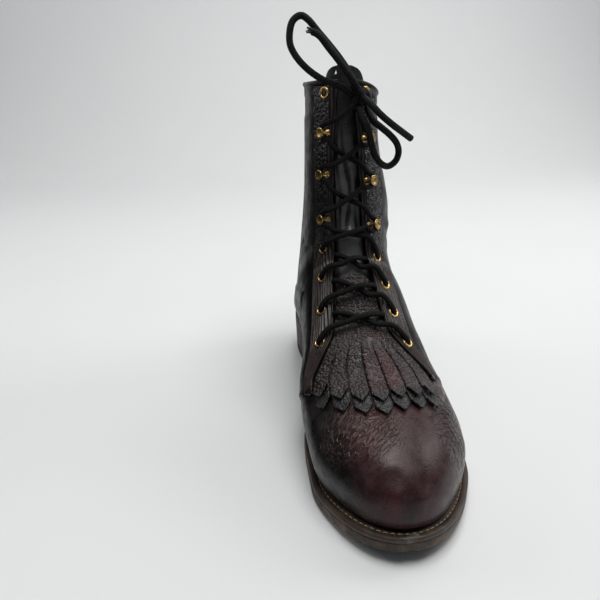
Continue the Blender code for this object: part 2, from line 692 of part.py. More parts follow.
# Section numbers of the lace holes and hooks on the medial and the lateral facing, from the lowest up
EYELET_ROWS = (
    ("4", 8.18, 7.90),
    ("3", 9.20, 8.85),
    ("2", 10.35, 9.80),
    ("1", 12.1, 11.35),
    ("top", 20.30, 20.40),
)
HOOK_ROWS_UP = (
    ("3", 14.6, 14.1),
    ("2", 16.85, 16.4),
    ("1", 18.6, 18.3),
)
HOLE_FROM_EDGE = 0.0078
HOOK_FROM_EDGE = 0.0052
EYELET_SIDES = 10


def lace_row(label, side, rows=EYELET_ROWS):
    """Section number of an eyelet or hook on one side."""
    found = [row for row in rows if row[0] == label][0]
    return found[1] if side < 0 else found[2]


def eyelet(name, row, side):
    """Flat brass ring on the facing."""
    distance = facing_edge(row, side, "inner") + HOLE_FROM_EDGE
    centre = LAST.point(row, side, distance, facing_top(row) + EYELET_SEAT)
    away, upward, normal = frame_at(row, side, distance)
    outer, hole, crown = EYELET_OUTER / 2, EYELET_HOLE / 2, EYELET_HEIGHT
    profile = ((outer, 0.0), ((outer * 2 + hole) / 3, crown), (hole, crown * 0.7), (hole, 0.0))
    points, faces = [], []
    for i in range(EYELET_SIDES):
        angle = 2 * math.pi * i / EYELET_SIDES
        out = away * math.cos(angle) + np.cross(normal, away) * math.sin(angle)
        points += [centre + out * radius + normal * height for radius, height in profile]
    count = len(profile)
    for i in range(EYELET_SIDES):
        j = (i + 1) % EYELET_SIDES
        for k in range(count):
            m = (k + 1) % count
            faces.append([i * count + k, j * count + k, j * count + m, i * count + m])
    return mesh_from(name, points, faces, "brass")


# Speed hook as a bent strip: distance away from the throat and height as shares of the head's
# width and the hook's height, half width as a share of the head's width
HOOK_COLUMNS = ("away", "height", "half")
HOOK_ROWS = (
    (0.42, 0.00, 0.16),
    (0.20, 0.00, 0.34),
    (-0.12, 0.00, 0.34),
    (-0.32, 0.06, 0.24),
    (-0.42, 0.25, 0.20),
    (-0.44, 0.50, 0.18),
    (-0.38, 0.82, 0.22),
    (-0.18, 0.98, 0.38),
    (0.12, 1.00, 0.50),
    (0.42, 1.00, 0.44),
    (0.62, 0.99, 0.22),
)


def hook(name, row, side):
    """Brass speed hook that opens away from the throat."""
    distance = facing_edge(row, side, "inner") + HOOK_FROM_EDGE
    centre = LAST.point(row, side, distance, facing_top(row) + 2 * SEAT_GAP + HOOK_SHEET / 2)
    away, upward, normal = frame_at(row, side, distance)
    path = [(a * HOOK_HEAD, h * (HOOK_HEIGHT - HOOK_SHEET)) for a, h, half in HOOK_ROWS]
    points, faces = [], []
    for i, (a, h) in enumerate(path):
        before = path[max(i - 1, 0)]
        after = path[min(i + 1, len(path) - 1)]
        run = np.array([after[0] - before[0], after[1] - before[1]])
        run = run / np.linalg.norm(run)
        cross = np.array([-run[1], run[0]]) * HOOK_SHEET / 2
        half = HOOK_ROWS[i][2] * HOOK_HEAD
        for turn, across in ((1, -half), (1, half), (-1, half), (-1, -half)):
            points.append(centre + away * (a + turn * cross[0]) + normal * (h + turn * cross[1]) + upward * across)
    for i in range(len(path) - 1):
        for k in range(4):
            m = (k + 1) % 4
            face = [4 * i + k, 4 * i + m, 4 * i + 4 + m, 4 * i + 4 + k]
            faces.append(face)
    faces.append([3, 2, 1, 0])
    end = 4 * (len(path) - 1)
    faces.append([end, end + 1, end + 2, end + 3])
    if side > 0:
        faces = [list(reversed(face)) for face in faces]
    return mesh_from(name, points, faces, "brass")


def smooth_route(points, spacing, knot_shift=None):
    """Evenly spaced points on a rounded curve through the route's own points, cut off at the knot."""
    points = np.array(points, float)
    steps = np.linalg.norm(np.diff(points, axis=0), axis=1)
    knots = np.concatenate([[0], np.cumsum(np.sqrt(steps))])
    fine = []
    for i in range(len(points) - 1):
        p1, p2 = points[i], points[i + 1]
        p0 = points[i - 1] if i else 2 * p1 - p2
        p3 = points[i + 2] if i + 2 < len(points) else 2 * p2 - p1
        for u in np.linspace(0, 1, 24, endpoint=False):
            fine.append(0.5 * (2 * p1 + (p2 - p0) * u + (2 * p0 - 5 * p1 + 4 * p2 - p3) * u ** 2
                               + (3 * p1 - p0 - 3 * p2 + p3) * u ** 3))
    fine.append(points[-1])
    fine = np.array(fine)
    if knot_shift is not None:
        fine = outside_knot(fine, knot_shift)
    along = np.concatenate([[0], np.cumsum(np.linalg.norm(np.diff(fine, axis=0), axis=1))])
    count = max(3, int(round(along[-1] / spacing)) + 1)
    wanted = np.linspace(0, along[-1], count)
    return np.stack([np.interp(wanted, along, fine[:, k]) for k in range(3)], axis=1)


def tube_mesh(points, radius, sides):
    """Points and faces of a capped tube along a route."""
    points = np.asarray(points)
    ring_points, faces = [], []
    tangent = points[1] - points[0]
    tangent = tangent / np.linalg.norm(tangent)
    guide = np.cross(tangent, (0.0, 0.3, 1.0))
    guide = guide / np.linalg.norm(guide)
    for i, place in enumerate(points):
        ahead = points[min(i + 1, len(points) - 1)] - points[max(i - 1, 0)]
        ahead = ahead / np.linalg.norm(ahead)
        guide = guide - ahead * np.dot(guide, ahead)
        guide = guide / np.linalg.norm(guide)
        other = np.cross(ahead, guide)
        for k in range(sides):
            angle = 2 * math.pi * (k + 0.5) / sides
            ring_points.append(place + radius * (guide * math.cos(angle) + other * math.sin(angle)))
    for i in range(len(points) - 1):
        for k in range(sides):
            m = (k + 1) % sides
            faces.append([i * sides + k, i * sides + m, (i + 1) * sides + m, (i + 1) * sides + k])
    faces.append(list(reversed(range(sides))))
    start = (len(points) - 1) * sides
    faces.append([start + k for k in range(sides)])
    return ring_points, faces


def joined_tubes(name, routes, spacing, knot_shift=None):
    """Tubes of the lace that cross each other, joined into one solid."""
    parts = []
    for number, route in enumerate(routes):
        places = smooth_route(route, spacing, knot_shift)
        points, faces = tube_mesh(places, LACE_RADIUS, LACE_SIDES)
        parts.append(mesh_from(name if number == 0 else name + "_cutter", points, faces, "lace_cotton"))
    base = parts[0]
    for other in parts[1:]:
        union = base.modifiers.new("join_crossing", "BOOLEAN")
        union.operation = "UNION"
        union.solver = "EXACT"
        union.object = other
        other.hide_render = True
        other.display_type = "WIRE"
    return base


def fringe_top(row):
    height = float(column(FRINGE_ROWS, FRINGE_COLUMNS, "height", row, "section")) * FRINGE_THICKNESS
    return height + 2 * FRINGE_THICKNESS + SHEET_GAP


def throat_clear(row):
    """Height that a lace keeps over tongue or fringe in the throat."""
    under = fringe_top(row) if row < 10.25 else -WALL
    return under + 2 * SEAT_GAP + LACE_RADIUS


def eyelet_start(label, side):
    """Point just over an eyelet's ring, where a lace run rises from it."""
    row = lace_row(label, side)
    distance = facing_edge(row, side, "inner") + HOLE_FROM_EDGE
    height = facing_top(row) + EYELET_SEAT + EYELET_HEIGHT + 3 * SEAT_GAP + LACE_RADIUS
    return LAST.point(row, side, distance, height)


def over_edge(row, side, reach=0.001):
    """Point of a lace run over the facing's inner edge."""
    height = facing_top(row, 0.0) + 3 * SEAT_GAP + LACE_RADIUS
    return LAST.point(row, side, facing_edge(row, side, "inner") + reach, height)


def crossing_middle(low_row, high_row, raised=0.0006):
    middle = (low_row + high_row) / 2
    return LAST.point(middle, 1, 0.0, throat_clear(middle) + raised)


def eyelet_crossing(name, low, high):
    """Two lace runs that rise from a pair of eyelets and go under the opposite facing."""
    routes = []
    low_mean = (lace_row(low, -1) + lace_row(low, 1)) / 2
    high_mean = (lace_row(high, -1) + lace_row(high, 1)) / 2
    for side in (-1, 1):
        low_row = lace_row(low, side)
        high_row = lace_row(high, -side)
        near = low_row + (high_row - low_row) * 0.28
        far = low_row + (high_row - low_row) * 0.72
        far_edge = facing_edge(far, -side, "inner")
        routes.append([
            eyelet_start(low, side),
            over_edge(near, side, 0.0005),
            LAST.point(near + 0.05, side, facing_edge(near, side, "inner") * 0.5, throat_clear(near) + 0.0006),
            crossing_middle(low_mean, high_mean),
            LAST.point(far, -side, far_edge - LACE_RADIUS - 2 * EDGE_GAP, throat_clear(far) + 0.0002),
        ])
    return joined_tubes(name, routes, LACE_DIAMETER * 1.1)


# A lace's turn round a hook: distances along the facing and away from the throat, in lace diameters
# from the hook's stem, and height over the facing
TURN_COLUMNS = ("upward", "away", "height")
TURN_ROWS = (
    (-1.22, -0.50, 0.76),
    (-0.90, 0.42, 0.82),
    (0.00, 0.86, 0.84),
    (0.90, 0.42, 0.82),
    (1.22, -0.50, 0.76),
)


def hook_turn(label, side):
    """Points of a lace run that goes round the outer side of a hook's stem, from below to above."""
    row = lace_row(label, side, HOOK_ROWS_UP)
    distance = facing_edge(row, side, "inner") + HOOK_FROM_EDGE
    away, upward, normal = frame_at(row, side, distance)
    foot = LAST.point(row, side, distance, facing_top(row) + 2 * SEAT_GAP + HOOK_SHEET)
    stem = foot - away * 0.43 * HOOK_HEAD
    return [stem + (upward * u + away * a + normal * h) * LACE_DIAMETER for u, a, h in TURN_ROWS]


def hook_run(start_side):
    """Lace run from the first eyelet over the three pairs of hooks to the knot."""
    side = start_side
    route = [eyelet_start("1", side)]
    below = (lace_row("1", -1) + lace_row("1", 1)) / 2
    for label in ("3", "2", "1"):
        above = (lace_row(label, -1, HOOK_ROWS_UP) + lace_row(label, 1, HOOK_ROWS_UP)) / 2
        near = below + (above - below) * 0.30
        far = below + (above - below) * 0.74
        if label == "3":
            route.append(over_edge(near, side))
        else:
            route.append(over_edge(near, side, -0.0005))
        route.append(crossing_middle(below, above))
        route.append(over_edge(far, -side, -0.0005))
        route += hook_turn(label, -side)
        side = -side
        below = above
    return route


KNOT_PLACE = (-0.0040, 0.0150, RIM_HEIGHT - 0.0110)
KNOT_RADII = (0.0058, 0.0044, 0.0056)
KNOT_CLEAR = 0.0008
# Last points of the two upper lace runs, by the side of their last hook: X, Y and height from the rim
RUN_ENDS = {
    -1: ((-0.0190, 0.0130, -0.0230), (-0.0110, 0.0120, -0.0160)),
    1: ((-0.0030, 0.0190, -0.0220), (-0.0040, 0.0170, -0.0170)),
}

# Routes of the bow, points set by hand along the photographed loops and ends: X, Y and height from
# the collar's rim
BOW_ROUTES = {
    "lace_loop_medial": (
        (-0.0084, 0.0160, -0.0112), (-0.0144, 0.0130, -0.0064), (-0.0217, 0.0120, -0.0032),
        (-0.0299, 0.0120, -0.0003), (-0.0382, 0.0140, 0.0051), (-0.0447, 0.0160, 0.0116),
        (-0.0488, 0.0170, 0.0186), (-0.0492, 0.0180, 0.0257), (-0.0472, 0.0190, 0.0323),
        (-0.0424, 0.0190, 0.0354), (-0.0377, 0.0180, 0.0329), (-0.0323, 0.0170, 0.0269),
        (-0.0257, 0.0160, 0.0198), (-0.0189, 0.0150, 0.0120), (-0.0124, 0.0150, 0.0034),
        (-0.0066, 0.0160, -0.0065),
    ),
    "lace_end_medial": (
        (-0.0050, 0.0120, -0.0105), (-0.0102, 0.0100, -0.0023), (-0.0162, 0.0095, 0.0051),
        (-0.0219, 0.0100, 0.0121), (-0.0267, 0.0110, 0.0177), (-0.0309, 0.0115, 0.0228),
        (-0.0338, 0.0125, 0.0253), (-0.0367, 0.0130, 0.0264),
    ),
    "lace_loop_lateral": (
        (-0.0010, 0.0125, -0.0170), (-0.0005, 0.0085, -0.0202), (0.0012, 0.0045, -0.0243),
        (0.0065, 0.0030, -0.0285), (0.0123, 0.0040, -0.0329), (0.0175, 0.0060, -0.0381),
        (0.0199, 0.0080, -0.0440), (0.0182, 0.0080, -0.0497), (0.0127, 0.0070, -0.0528),
        (0.0064, 0.0045, -0.0496), (0.0018, 0.0030, -0.0430), (-0.0005, 0.0025, -0.0362),
        (-0.0022, 0.0030, -0.0295), (-0.0050, 0.0070, -0.0230), (-0.0072, 0.0115, -0.0170),
    ),
    "lace_end_lateral": (
        (-0.0034, 0.0110, -0.0110), (-0.0012, 0.0020, -0.0145), (0.0036, -0.0020, -0.0200),
        (0.0109, -0.0015, -0.0256), (0.0186, 0.0020, -0.0304), (0.0269, 0.0060, -0.0355),
    ),
}


def from_rim(points):
    """Points whose heights are counted from the collar's rim."""
    return [np.array(point) + (0, 0, RIM_HEIGHT) for point in points]


def outside_knot(points, shift):
    """The stretch of a route that lies clear of the knot."""
    radii = np.array(KNOT_RADII) + KNOT_CLEAR
    away = np.linalg.norm((points - shift - np.array(KNOT_PLACE)) / radii, axis=1)
    return points[away >= 1.0]


def knot():
    """Knot of the bow, a lumped ball against the facing and tongue."""
    mesh = bpy.data.meshes.new("lace_knot")
    form = bmesh.new()
    bmesh.ops.create_uvsphere(form, u_segments=12, v_segments=8, radius=1.0)
    for vert in form.verts:
        waist = 1 - 0.05 * math.cos(3 * math.atan2(vert.co.z, vert.co.x)) * (1 - vert.co.y ** 2)
        vert.co = (KNOT_PLACE[0] + vert.co.x * KNOT_RADII[0] * waist,
                   KNOT_PLACE[1] + vert.co.y * KNOT_RADII[1],
                   KNOT_PLACE[2] + vert.co.z * KNOT_RADII[2] * waist)
    form.to_mesh(mesh)
    form.free()
    mesh.shade_smooth()
    return add_object("lace_knot", mesh, "lace_cotton")


def bow_cord(name, route):
    """One loop or end of the bow as a round cord."""
    points = smooth_route(from_rim(route), LACE_DIAMETER * 1.2, np.zeros(3))
    curve = bpy.data.curves.new(name, "CURVE")
    curve.dimensions = "3D"
    curve.bevel_depth = LACE_RADIUS
    curve.bevel_resolution = 2
    curve.use_fill_caps = True
    spline = curve.splines.new("POLY")
    spline.points.add(len(points) - 1)
    for slot, place in zip(spline.points, points):
        slot.co = (*place, 1.0)
    return add_object(name, curve, "lace_cotton")


def build_sole():
    tip = OUTSOLE_LENGTH / 2
    inward = WALL + 3 * SEAT_GAP
    bed = SOLE_EDGE + SEAT_GAP
    sole_slab("outsole", 0.0, OUTSOLE_THICKNESS, -tip, tip, sole_half, 0.0, "sole_leather")
    sole_slab("welt", OUTSOLE_THICKNESS + SEAT_GAP, SOLE_EDGE, -tip, tip, sole_half, 0.0, "sole_leather")
    sole_slab("insole", bed, bed + INSOLE_THICKNESS, FEATHER_TOE + inward, FEATHER_HEEL - HEEL_SLACK * inward,
              feather_half, inward, "insole_leather")
    heel_block("heel_top_lift", 0.0, TOP_LIFT_THICKNESS, "heel_rubber")
    heel_block("heel_stack", TOP_LIFT_THICKNESS + SEAT_GAP, HEEL_HEIGHT - SEAT_GAP, "sole_leather")


def build_upper():
    upper()
    for name, side in SIDES.items():
        facing("facing_" + name, side)
    tongue()
    fringe("kiltie_under", 0, "black_leather")
    fringe("kiltie_top", 1, "burgundy_leather")


def build_metal():
    for name, side in SIDES.items():
        for row in EYELET_ROWS:
            eyelet("eyelet_%s_%s" % (name, row[0]), lace_row(row[0], side), side)
        for row in HOOK_ROWS_UP:
            hook("hook_%s_%s" % (name, row[0]), lace_row(row[0], side, HOOK_ROWS_UP), side)


def build_lace():
    order = ["4", "3", "2", "1"]
    for low, high in zip(order, order[1:]):
        eyelet_crossing("lace_cross_%s_%s" % (low, high), low, high)
    shift = np.array([ORIGIN_X, 0, 0])
    runs = []
    for side in (-1, 1):
        last = -side
        ends = from_rim(RUN_ENDS[last]) + [np.array(KNOT_PLACE)]
        route = hook_run(side) + [point + shift for point in ends]
        runs.append(route)
    joined_tubes("lace_hook_run", runs, LACE_DIAMETER * 0.95, shift)
    knot()
    for name, route in BOW_ROUTES.items():
        bow_cord(name, route)


def clear_scene():
    for thing in list(bpy.data.objects):
        bpy.data.objects.remove(thing, do_unlink=True)


clear_scene()
build_sole()
build_upper()
build_metal()
build_lace()
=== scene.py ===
# Packer boot for the left foot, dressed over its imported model: leather, brass, laces, sole and light.
# Metres, +Z up. The toe points to -Y, the heel to +Y, the outer (lateral) side to +X.
import math

import bpy
import numpy as np
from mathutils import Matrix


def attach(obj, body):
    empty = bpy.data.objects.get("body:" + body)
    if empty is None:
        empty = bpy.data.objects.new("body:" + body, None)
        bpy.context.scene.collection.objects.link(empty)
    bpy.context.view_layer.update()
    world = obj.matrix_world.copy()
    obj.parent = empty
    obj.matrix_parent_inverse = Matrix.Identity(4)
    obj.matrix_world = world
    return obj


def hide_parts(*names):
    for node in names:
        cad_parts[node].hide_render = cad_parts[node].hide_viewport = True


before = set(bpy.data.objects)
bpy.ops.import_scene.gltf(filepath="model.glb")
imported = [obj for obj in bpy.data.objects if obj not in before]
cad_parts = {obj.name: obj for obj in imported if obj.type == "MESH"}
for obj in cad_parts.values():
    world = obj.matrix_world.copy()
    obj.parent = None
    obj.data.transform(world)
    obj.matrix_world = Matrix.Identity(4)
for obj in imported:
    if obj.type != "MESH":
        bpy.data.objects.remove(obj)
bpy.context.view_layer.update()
MM = 0.001

# Camera of the photograph
FOCAL_PIXELS = 580.0
IMAGE_PIXELS = 600.0
SENSOR = 36.0
CAMERA_PLACE = (-0.1041, -0.3600, 0.2340)
CAMERA_TURN = 9.2
HORIZON_PIXELS = 228.0

# Sizes that the boot's source gives too
OUTSOLE_LENGTH = 0.292
BALL_WIDTH = 0.104
HEEL_HEIGHT = 0.0280
TOE_SPRING = 0.0080
OUTSOLE_THICKNESS = 0.0055
WELT_THICKNESS = 0.0032
TOP_LIFT_THICKNESS = 0.0060
INSOLE_THICKNESS = 0.0030
TOE_SWING = 0.0095
HEEL_UNDERCUT = 0.0040
WELT_INSET = 0.0058
SEAT_INSET = 0.0028
RIM_HEIGHT = 0.2300
INSTEP_HEIGHT = 0.1120
WALL = 0.0022
RIDGE_SHIFT = 0.0100
BEAD_HEIGHT = 0.0036
BEAD_PROUD = 0.0015
RIM_DIP_LATERAL = 0.0075
RIM_DIP_MEDIAL = 0.0010
FACING_THICKNESS = 0.0014
FACING_LIFT_AT_FRINGE = 0.0017
TONGUE_THICKNESS = 0.0022
TONGUE_RISE = 0.0090
FRINGE_THICKNESS = 0.0009
FRINGE_STRIPS = 7
FRINGE_LAYER_STEP = 0.0080
EYELET_SEAT = 0.0008
HOOK_HEAD = 0.0074
LACE_DIAMETER = 0.0042
SEAT_GAP = 0.0003
SHEET_GAP = 0.0004

SOLE_EDGE = OUTSOLE_THICKNESS + SEAT_GAP + WELT_THICKNESS
HEEL_SEAT = HEEL_HEIGHT + SOLE_EDGE
LACE_RADIUS = LACE_DIAMETER / 2
# The runs drawn tight through eyelets and round hooks are a little thinner
RUN_RADIUS = LACE_RADIUS * 0.84
# Height of one section of the shaft near the collar, and length of one section of the vamp
SHAFT_SECTION = RIM_HEIGHT * 0.053
VAMP_SECTION = OUTSOLE_LENGTH * 0.068

# Sole outline: share of the length from the toe, half widths as shares of the ball width
SOLE_COLUMNS = ("station", "medial", "lateral")
SOLE_ROWS = (
    (0.00, 0.385, 0.385),
    (0.10, 0.418, 0.418),
    (0.20, 0.458, 0.471),
    (0.30, 0.466, 0.514),
    (0.36, 0.455, 0.524),
    (0.45, 0.385, 0.497),
    (0.55, 0.280, 0.440),
    (0.65, 0.240, 0.385),
    (0.75, 0.255, 0.345),
    (0.85, 0.276, 0.335),
    (1.00, 0.280, 0.335),
)
TOE_ROUND = 0.22
TOE_POWER = 2.05
HEEL_ROUND = 0.115
HEEL_POWER = 2.10
SWING_END = 0.36
SPRING_END = 0.22
ARCH_START = 0.46
ARCH_END = 0.72
BREAST = 0.735

# Upper sections, fanned from the toe over the instep to the collar, as in the boot's source
SECTION_COLUMNS = ("front_y", "front_rise", "front_shaft", "back_y", "back_rise",
                   "medial", "lateral", "widest", "front_power", "back_power", "ridge", "vamp")
SECTION_ROWS = (
    (0.0200, 0.000, 0.00, 0.116, 0.000, 0.400, 0.400, 0.85, 2.10, 2.0, 0.95, 0.00),
    (0.0155, 0.065, 0.00, 0.127, 0.000, 0.400, 0.400, 0.85, 2.10, 2.0, 0.96, 0.00),
    (0.0220, 0.150, 0.00, 0.144, 0.000, 0.405, 0.410, 0.84, 2.10, 2.0, 0.97, 0.10),
    (0.0480, 0.250, 0.00, 0.168, 0.000, 0.420, 0.420, 0.82, 2.10, 2.0, 0.98, 0.35),
    (0.0930, 0.335, 0.00, 0.200, 0.000, 0.435, 0.435, 0.80, 2.10, 2.0, 1.00, 0.70),
    (0.1540, 0.398, 0.00, 0.240, 0.000, 0.450, 0.450, 0.76, 2.15, 2.0, 1.00, 1.00),
    (0.2230, 0.455, 0.00, 0.291, 0.000, 0.460, 0.472, 0.73, 2.20, 2.0, 1.00, 1.00),
    (0.2910, 0.527, 0.00, 0.353, 0.000, 0.462, 0.474, 0.72, 2.20, 2.0, 1.00, 1.00),
    (0.3560, 0.632, 0.00, 0.425, 0.000, 0.445, 0.452, 0.71, 2.25, 2.0, 1.00, 1.00),
    (0.4110, 0.762, 0.00, 0.510, 0.000, 0.392, 0.425, 0.70, 2.30, 2.0, 1.00, 1.00),
    (0.4550, 0.893, 0.00, 0.654, 0.000, 0.342, 0.390, 0.66, 2.30, 2.0, 1.00, 1.00),
    (0.4800, 0.980, 0.00, 0.791, 0.000, 0.322, 0.366, 0.62, 2.30, 2.0, 1.00, 1.00),
    (0.4970, 1.000, 0.065, 0.894, 0.000, 0.308, 0.358, 0.60, 2.30, 2.2, 1.00, 1.00),
    (0.5070, 1.000, 0.120, 0.949, 0.000, 0.286, 0.360, 0.59, 2.30, 2.4, 1.00, 1.00),
    (0.5170, 1.000, 0.165, 0.974, 0.000, 0.272, 0.366, 0.58, 2.30, 3.4, 1.00, 1.00),
    (0.5330, 1.000, 0.265, 0.986, 0.110, 0.252, 0.372, 0.56, 2.35, 3.0, 1.00, 1.00),
    (0.5460, 1.000, 0.376, 0.985, 0.245, 0.234, 0.368, 0.54, 2.40, 2.8, 1.00, 1.00),
    (0.5580, 1.000, 0.495, 0.966, 0.380, 0.226, 0.337, 0.53, 2.45, 2.6, 1.00, 1.00),
    (0.5680, 1.000, 0.624, 0.949, 0.535, 0.222, 0.290, 0.52, 2.50, 2.5, 1.00, 1.00),
    (0.5770, 1.000, 0.761, 0.950, 0.715, 0.220, 0.266, 0.52, 2.50, 2.5, 1.00, 1.00),
    (0.5840, 1.000, 0.890, 0.959, 0.918, 0.220, 0.262, 0.52, 2.50, 2.5, 1.00, 1.00),
    (0.5890, 1.000, 1.000, 0.966, 0.980, 0.220, 0.262, 0.52, 2.50, 2.5, 1.00, 1.00),
)
HEEL_ROW = 14
DIP_ROW = 18.0
RIM_ROW = len(SECTION_ROWS) - 1

FACING_COLUMNS = ("section", "inner_medial", "outer_medial", "inner_lateral", "outer_lateral")
FACING_ROWS = (
    (6.90, 0.372, 0.410, 0.385, 0.430),
    (7.20, 0.345, 0.460, 0.318, 0.440),
    (7.50, 0.292, 0.455, 0.255, 0.408),
    (7.80, 0.240, 0.425, 0.205, 0.374),
    (8.20, 0.187, 0.375, 0.162, 0.342),
    (9.00, 0.158, 0.341, 0.138, 0.322),
    (10.0, 0.135, 0.317, 0.122, 0.306),
    (11.2, 0.115, 0.300, 0.104, 0.291),
    (14.7, 0.090, 0.284, 0.090, 0.284),
    (17.0, 0.082, 0.273, 0.082, 0.273),
    (19.3, 0.064, 0.254, 0.064, 0.254),
    (21.0, 0.048, 0.237, 0.048, 0.237),
)
TIP_SECTION = 6.90
THROAT_SECTION = 7.50
TOE_INNER_SHARE = 0.42

FRINGE_COLUMNS = ("section", "medial", "lateral", "height")
FRINGE_ROWS = (
    (5.30, 0.378, 0.368, 0.60),
    (5.80, 0.374, 0.364, 0.60),
    (6.40, 0.368, 0.354, 0.60),
    (6.90, 0.352, 0.334, 0.60),
    (7.20, 0.325, 0.298, 0.60),
    (7.50, 0.274, 0.240, 0.60),
    (7.80, 0.226, 0.193, 0.45),
    (8.20, 0.176, 0.151, -0.40),
    (8.60, 0.160, 0.138, -1.40),
    (9.00, 0.145, 0.126, -2.00),
    (9.50, 0.120, 0.118, -2.10),
    (10.0, 0.080, 0.078, -2.10),
    (10.2, 0.036, 0.036, -2.10),
)
STRIP_ENDS = (6.42, 6.04, 5.80, 5.68, 5.78, 5.86, 5.98)

# Section numbers of the lace holes and hooks on the medial and the lateral facing, from the lowest up
EYELET_ROWS = (
    ("4", 8.18, 7.90),
    ("3", 9.20, 8.85),
    ("2", 10.35, 9.80),
    ("1", 12.1, 11.35),
    ("top", 20.30, 20.40),
)
HOOK_ROWS_UP = (
    ("3", 14.6, 14.1),
    ("2", 16.85, 16.4),
    ("1", 18.6, 18.3),
)
HOLE_FROM_EDGE = 0.0078
HOOK_FROM_EDGE = 0.0052

SIDES = {"medial": -1, "lateral": 1}


def camera():
    """The photograph's camera: low over the toe, looking down at the boot."""
    data = bpy.data.cameras.new("photo_camera")
    data.sensor_width = SENSOR
    data.lens = FOCAL_PIXELS / IMAGE_PIXELS * SENSOR
    data.clip_start = 0.01
    thing = bpy.data.objects.new("photo_camera", data)
    thing.location = CAMERA_PLACE
    tilt = math.pi / 2 - math.atan(HORIZON_PIXELS / FOCAL_PIXELS)
    thing.rotation_euler = (tilt, 0, -math.radians(CAMERA_TURN))
    bpy.context.scene.collection.objects.link(thing)
    bpy.context.scene.camera = thing


camera()


# Shape of the last


def smooth_curve(xs, ys, x):
    """Cubic curve through a table's points that doesn't overshoot between them."""
    xs = np.asarray(xs, float)
    ys = np.asarray(ys, float)
    step = np.diff(xs)
    slope = np.diff(ys) / step
    tangent = np.zeros_like(ys)
    tangent[0] = slope[0]
    tangent[-1] = slope[-1]
    for i in range(1, len(xs) - 1):
        if slope[i - 1] * slope[i] > 0:
            before = 2 * step[i] + step[i - 1]
            after = step[i] + 2 * step[i - 1]
            tangent[i] = (before + after) / (before / slope[i - 1] + after / slope[i])
    x = np.clip(np.asarray(x, float), xs[0], xs[-1])
    i = np.clip(np.searchsorted(xs, x, side="right") - 1, 0, len(xs) - 2)
    u = (x - xs[i]) / step[i]
    return (ys[i] * (1 + 2 * u) * (1 - u) ** 2 + ys[i + 1] * u * u * (3 - 2 * u)
            + step[i] * (tangent[i] * u * (1 - u) ** 2 - tangent[i + 1] * u * u * (1 - u)))


def column(rows, columns, name, x, key=None):
    """Value of a named column at x, where x is the key column or else the row's number."""
    xs = [row[columns.index(key)] for row in rows] if key else range(len(rows))
    return smooth_curve(list(xs), [row[columns.index(name)] for row in rows], x)


def ease(x):
    """Soft step from 0 to 1."""
    x = np.clip(x, 0.0, 1.0)
    return x * x * (3 - 2 * x)


def bell(x, width):
    """Soft bump of height 1 and the given half width."""
    return np.exp(-(x / width) ** 2)


def lengths_along(points):
    """Length of a route up to each of its points."""
    return np.concatenate([[0], np.cumsum(np.linalg.norm(np.diff(points, axis=0), axis=1))])


def places_at(wanted, along, points):
    """Points of a route at lengths along it."""
    return np.stack([np.interp(wanted, along, points[:, k]) for k in range(3)], axis=-1)


def sole_share(y):
    return np.asarray(y, float) / OUTSOLE_LENGTH + 0.5


def toe_swing(y):
    """The toe's turn to the medial side, as an X shift of the centre line."""
    return -TOE_SWING * np.clip(1 - sole_share(y) / SWING_END, 0, 1) ** 1.5


def rounded_half(y, side, toe_y, heel_y, inset):
    """Half width of an outline with a round toe at toe_y and a round heel at heel_y."""
    name = "medial" if side < 0 else "lateral"
    half = column(SOLE_ROWS, SOLE_COLUMNS, name, sole_share(y), "station") * BALL_WIDTH - inset
    toe_reach = TOE_ROUND * OUTSOLE_LENGTH - (toe_y + OUTSOLE_LENGTH / 2)
    heel_reach = HEEL_ROUND * OUTSOLE_LENGTH - (OUTSOLE_LENGTH / 2 - heel_y)
    toe = np.clip(1 - (y - toe_y) / toe_reach, 0, 1)
    heel = np.clip(1 - (heel_y - y) / heel_reach, 0, 1)
    return half * (1 - toe ** TOE_POWER) ** (1 / TOE_POWER) * (1 - heel ** HEEL_POWER) ** (1 / HEEL_POWER)


def sole_half(y, side, inset=0.0):
    end = OUTSOLE_LENGTH / 2 - inset
    return rounded_half(y, side, -end, end, inset)


FEATHER_TOE = -OUTSOLE_LENGTH / 2 + WELT_INSET
FEATHER_HEEL = SECTION_ROWS[HEEL_ROW][SECTION_COLUMNS.index("back_y")] * OUTSOLE_LENGTH - OUTSOLE_LENGTH / 2


def feather_half(y, side, inward=0.0):
    """Half width of the line where the upper meets the welt, or of one that lies inside it."""
    inset = WELT_INSET + (SEAT_INSET - WELT_INSET) * ease((sole_share(y) - 0.40) / 0.18)
    return rounded_half(y, side, FEATHER_TOE + inward, FEATHER_HEEL - inward, inset + inward)


def sole_bottom(y):
    """Height of the outsole's underside: toe spring, flat forefoot, arch, heel seat."""
    share = sole_share(y)
    spring = TOE_SPRING * np.clip(1 - share / SPRING_END, 0, 1) ** 1.8
    return spring + HEEL_HEIGHT * ease((share - ARCH_START) / (ARCH_END - ARCH_START))


def sole_top(y):
    return sole_bottom(y) + SOLE_EDGE


SOLE_Y = np.linspace(-OUTSOLE_LENGTH / 2, OUTSOLE_LENGTH / 2, 400)
ORIGIN_X = (float(np.max(toe_swing(SOLE_Y) + sole_half(SOLE_Y, 1)))
            + float(np.min(toe_swing(SOLE_Y) - sole_half(SOLE_Y, -1)))) / 2


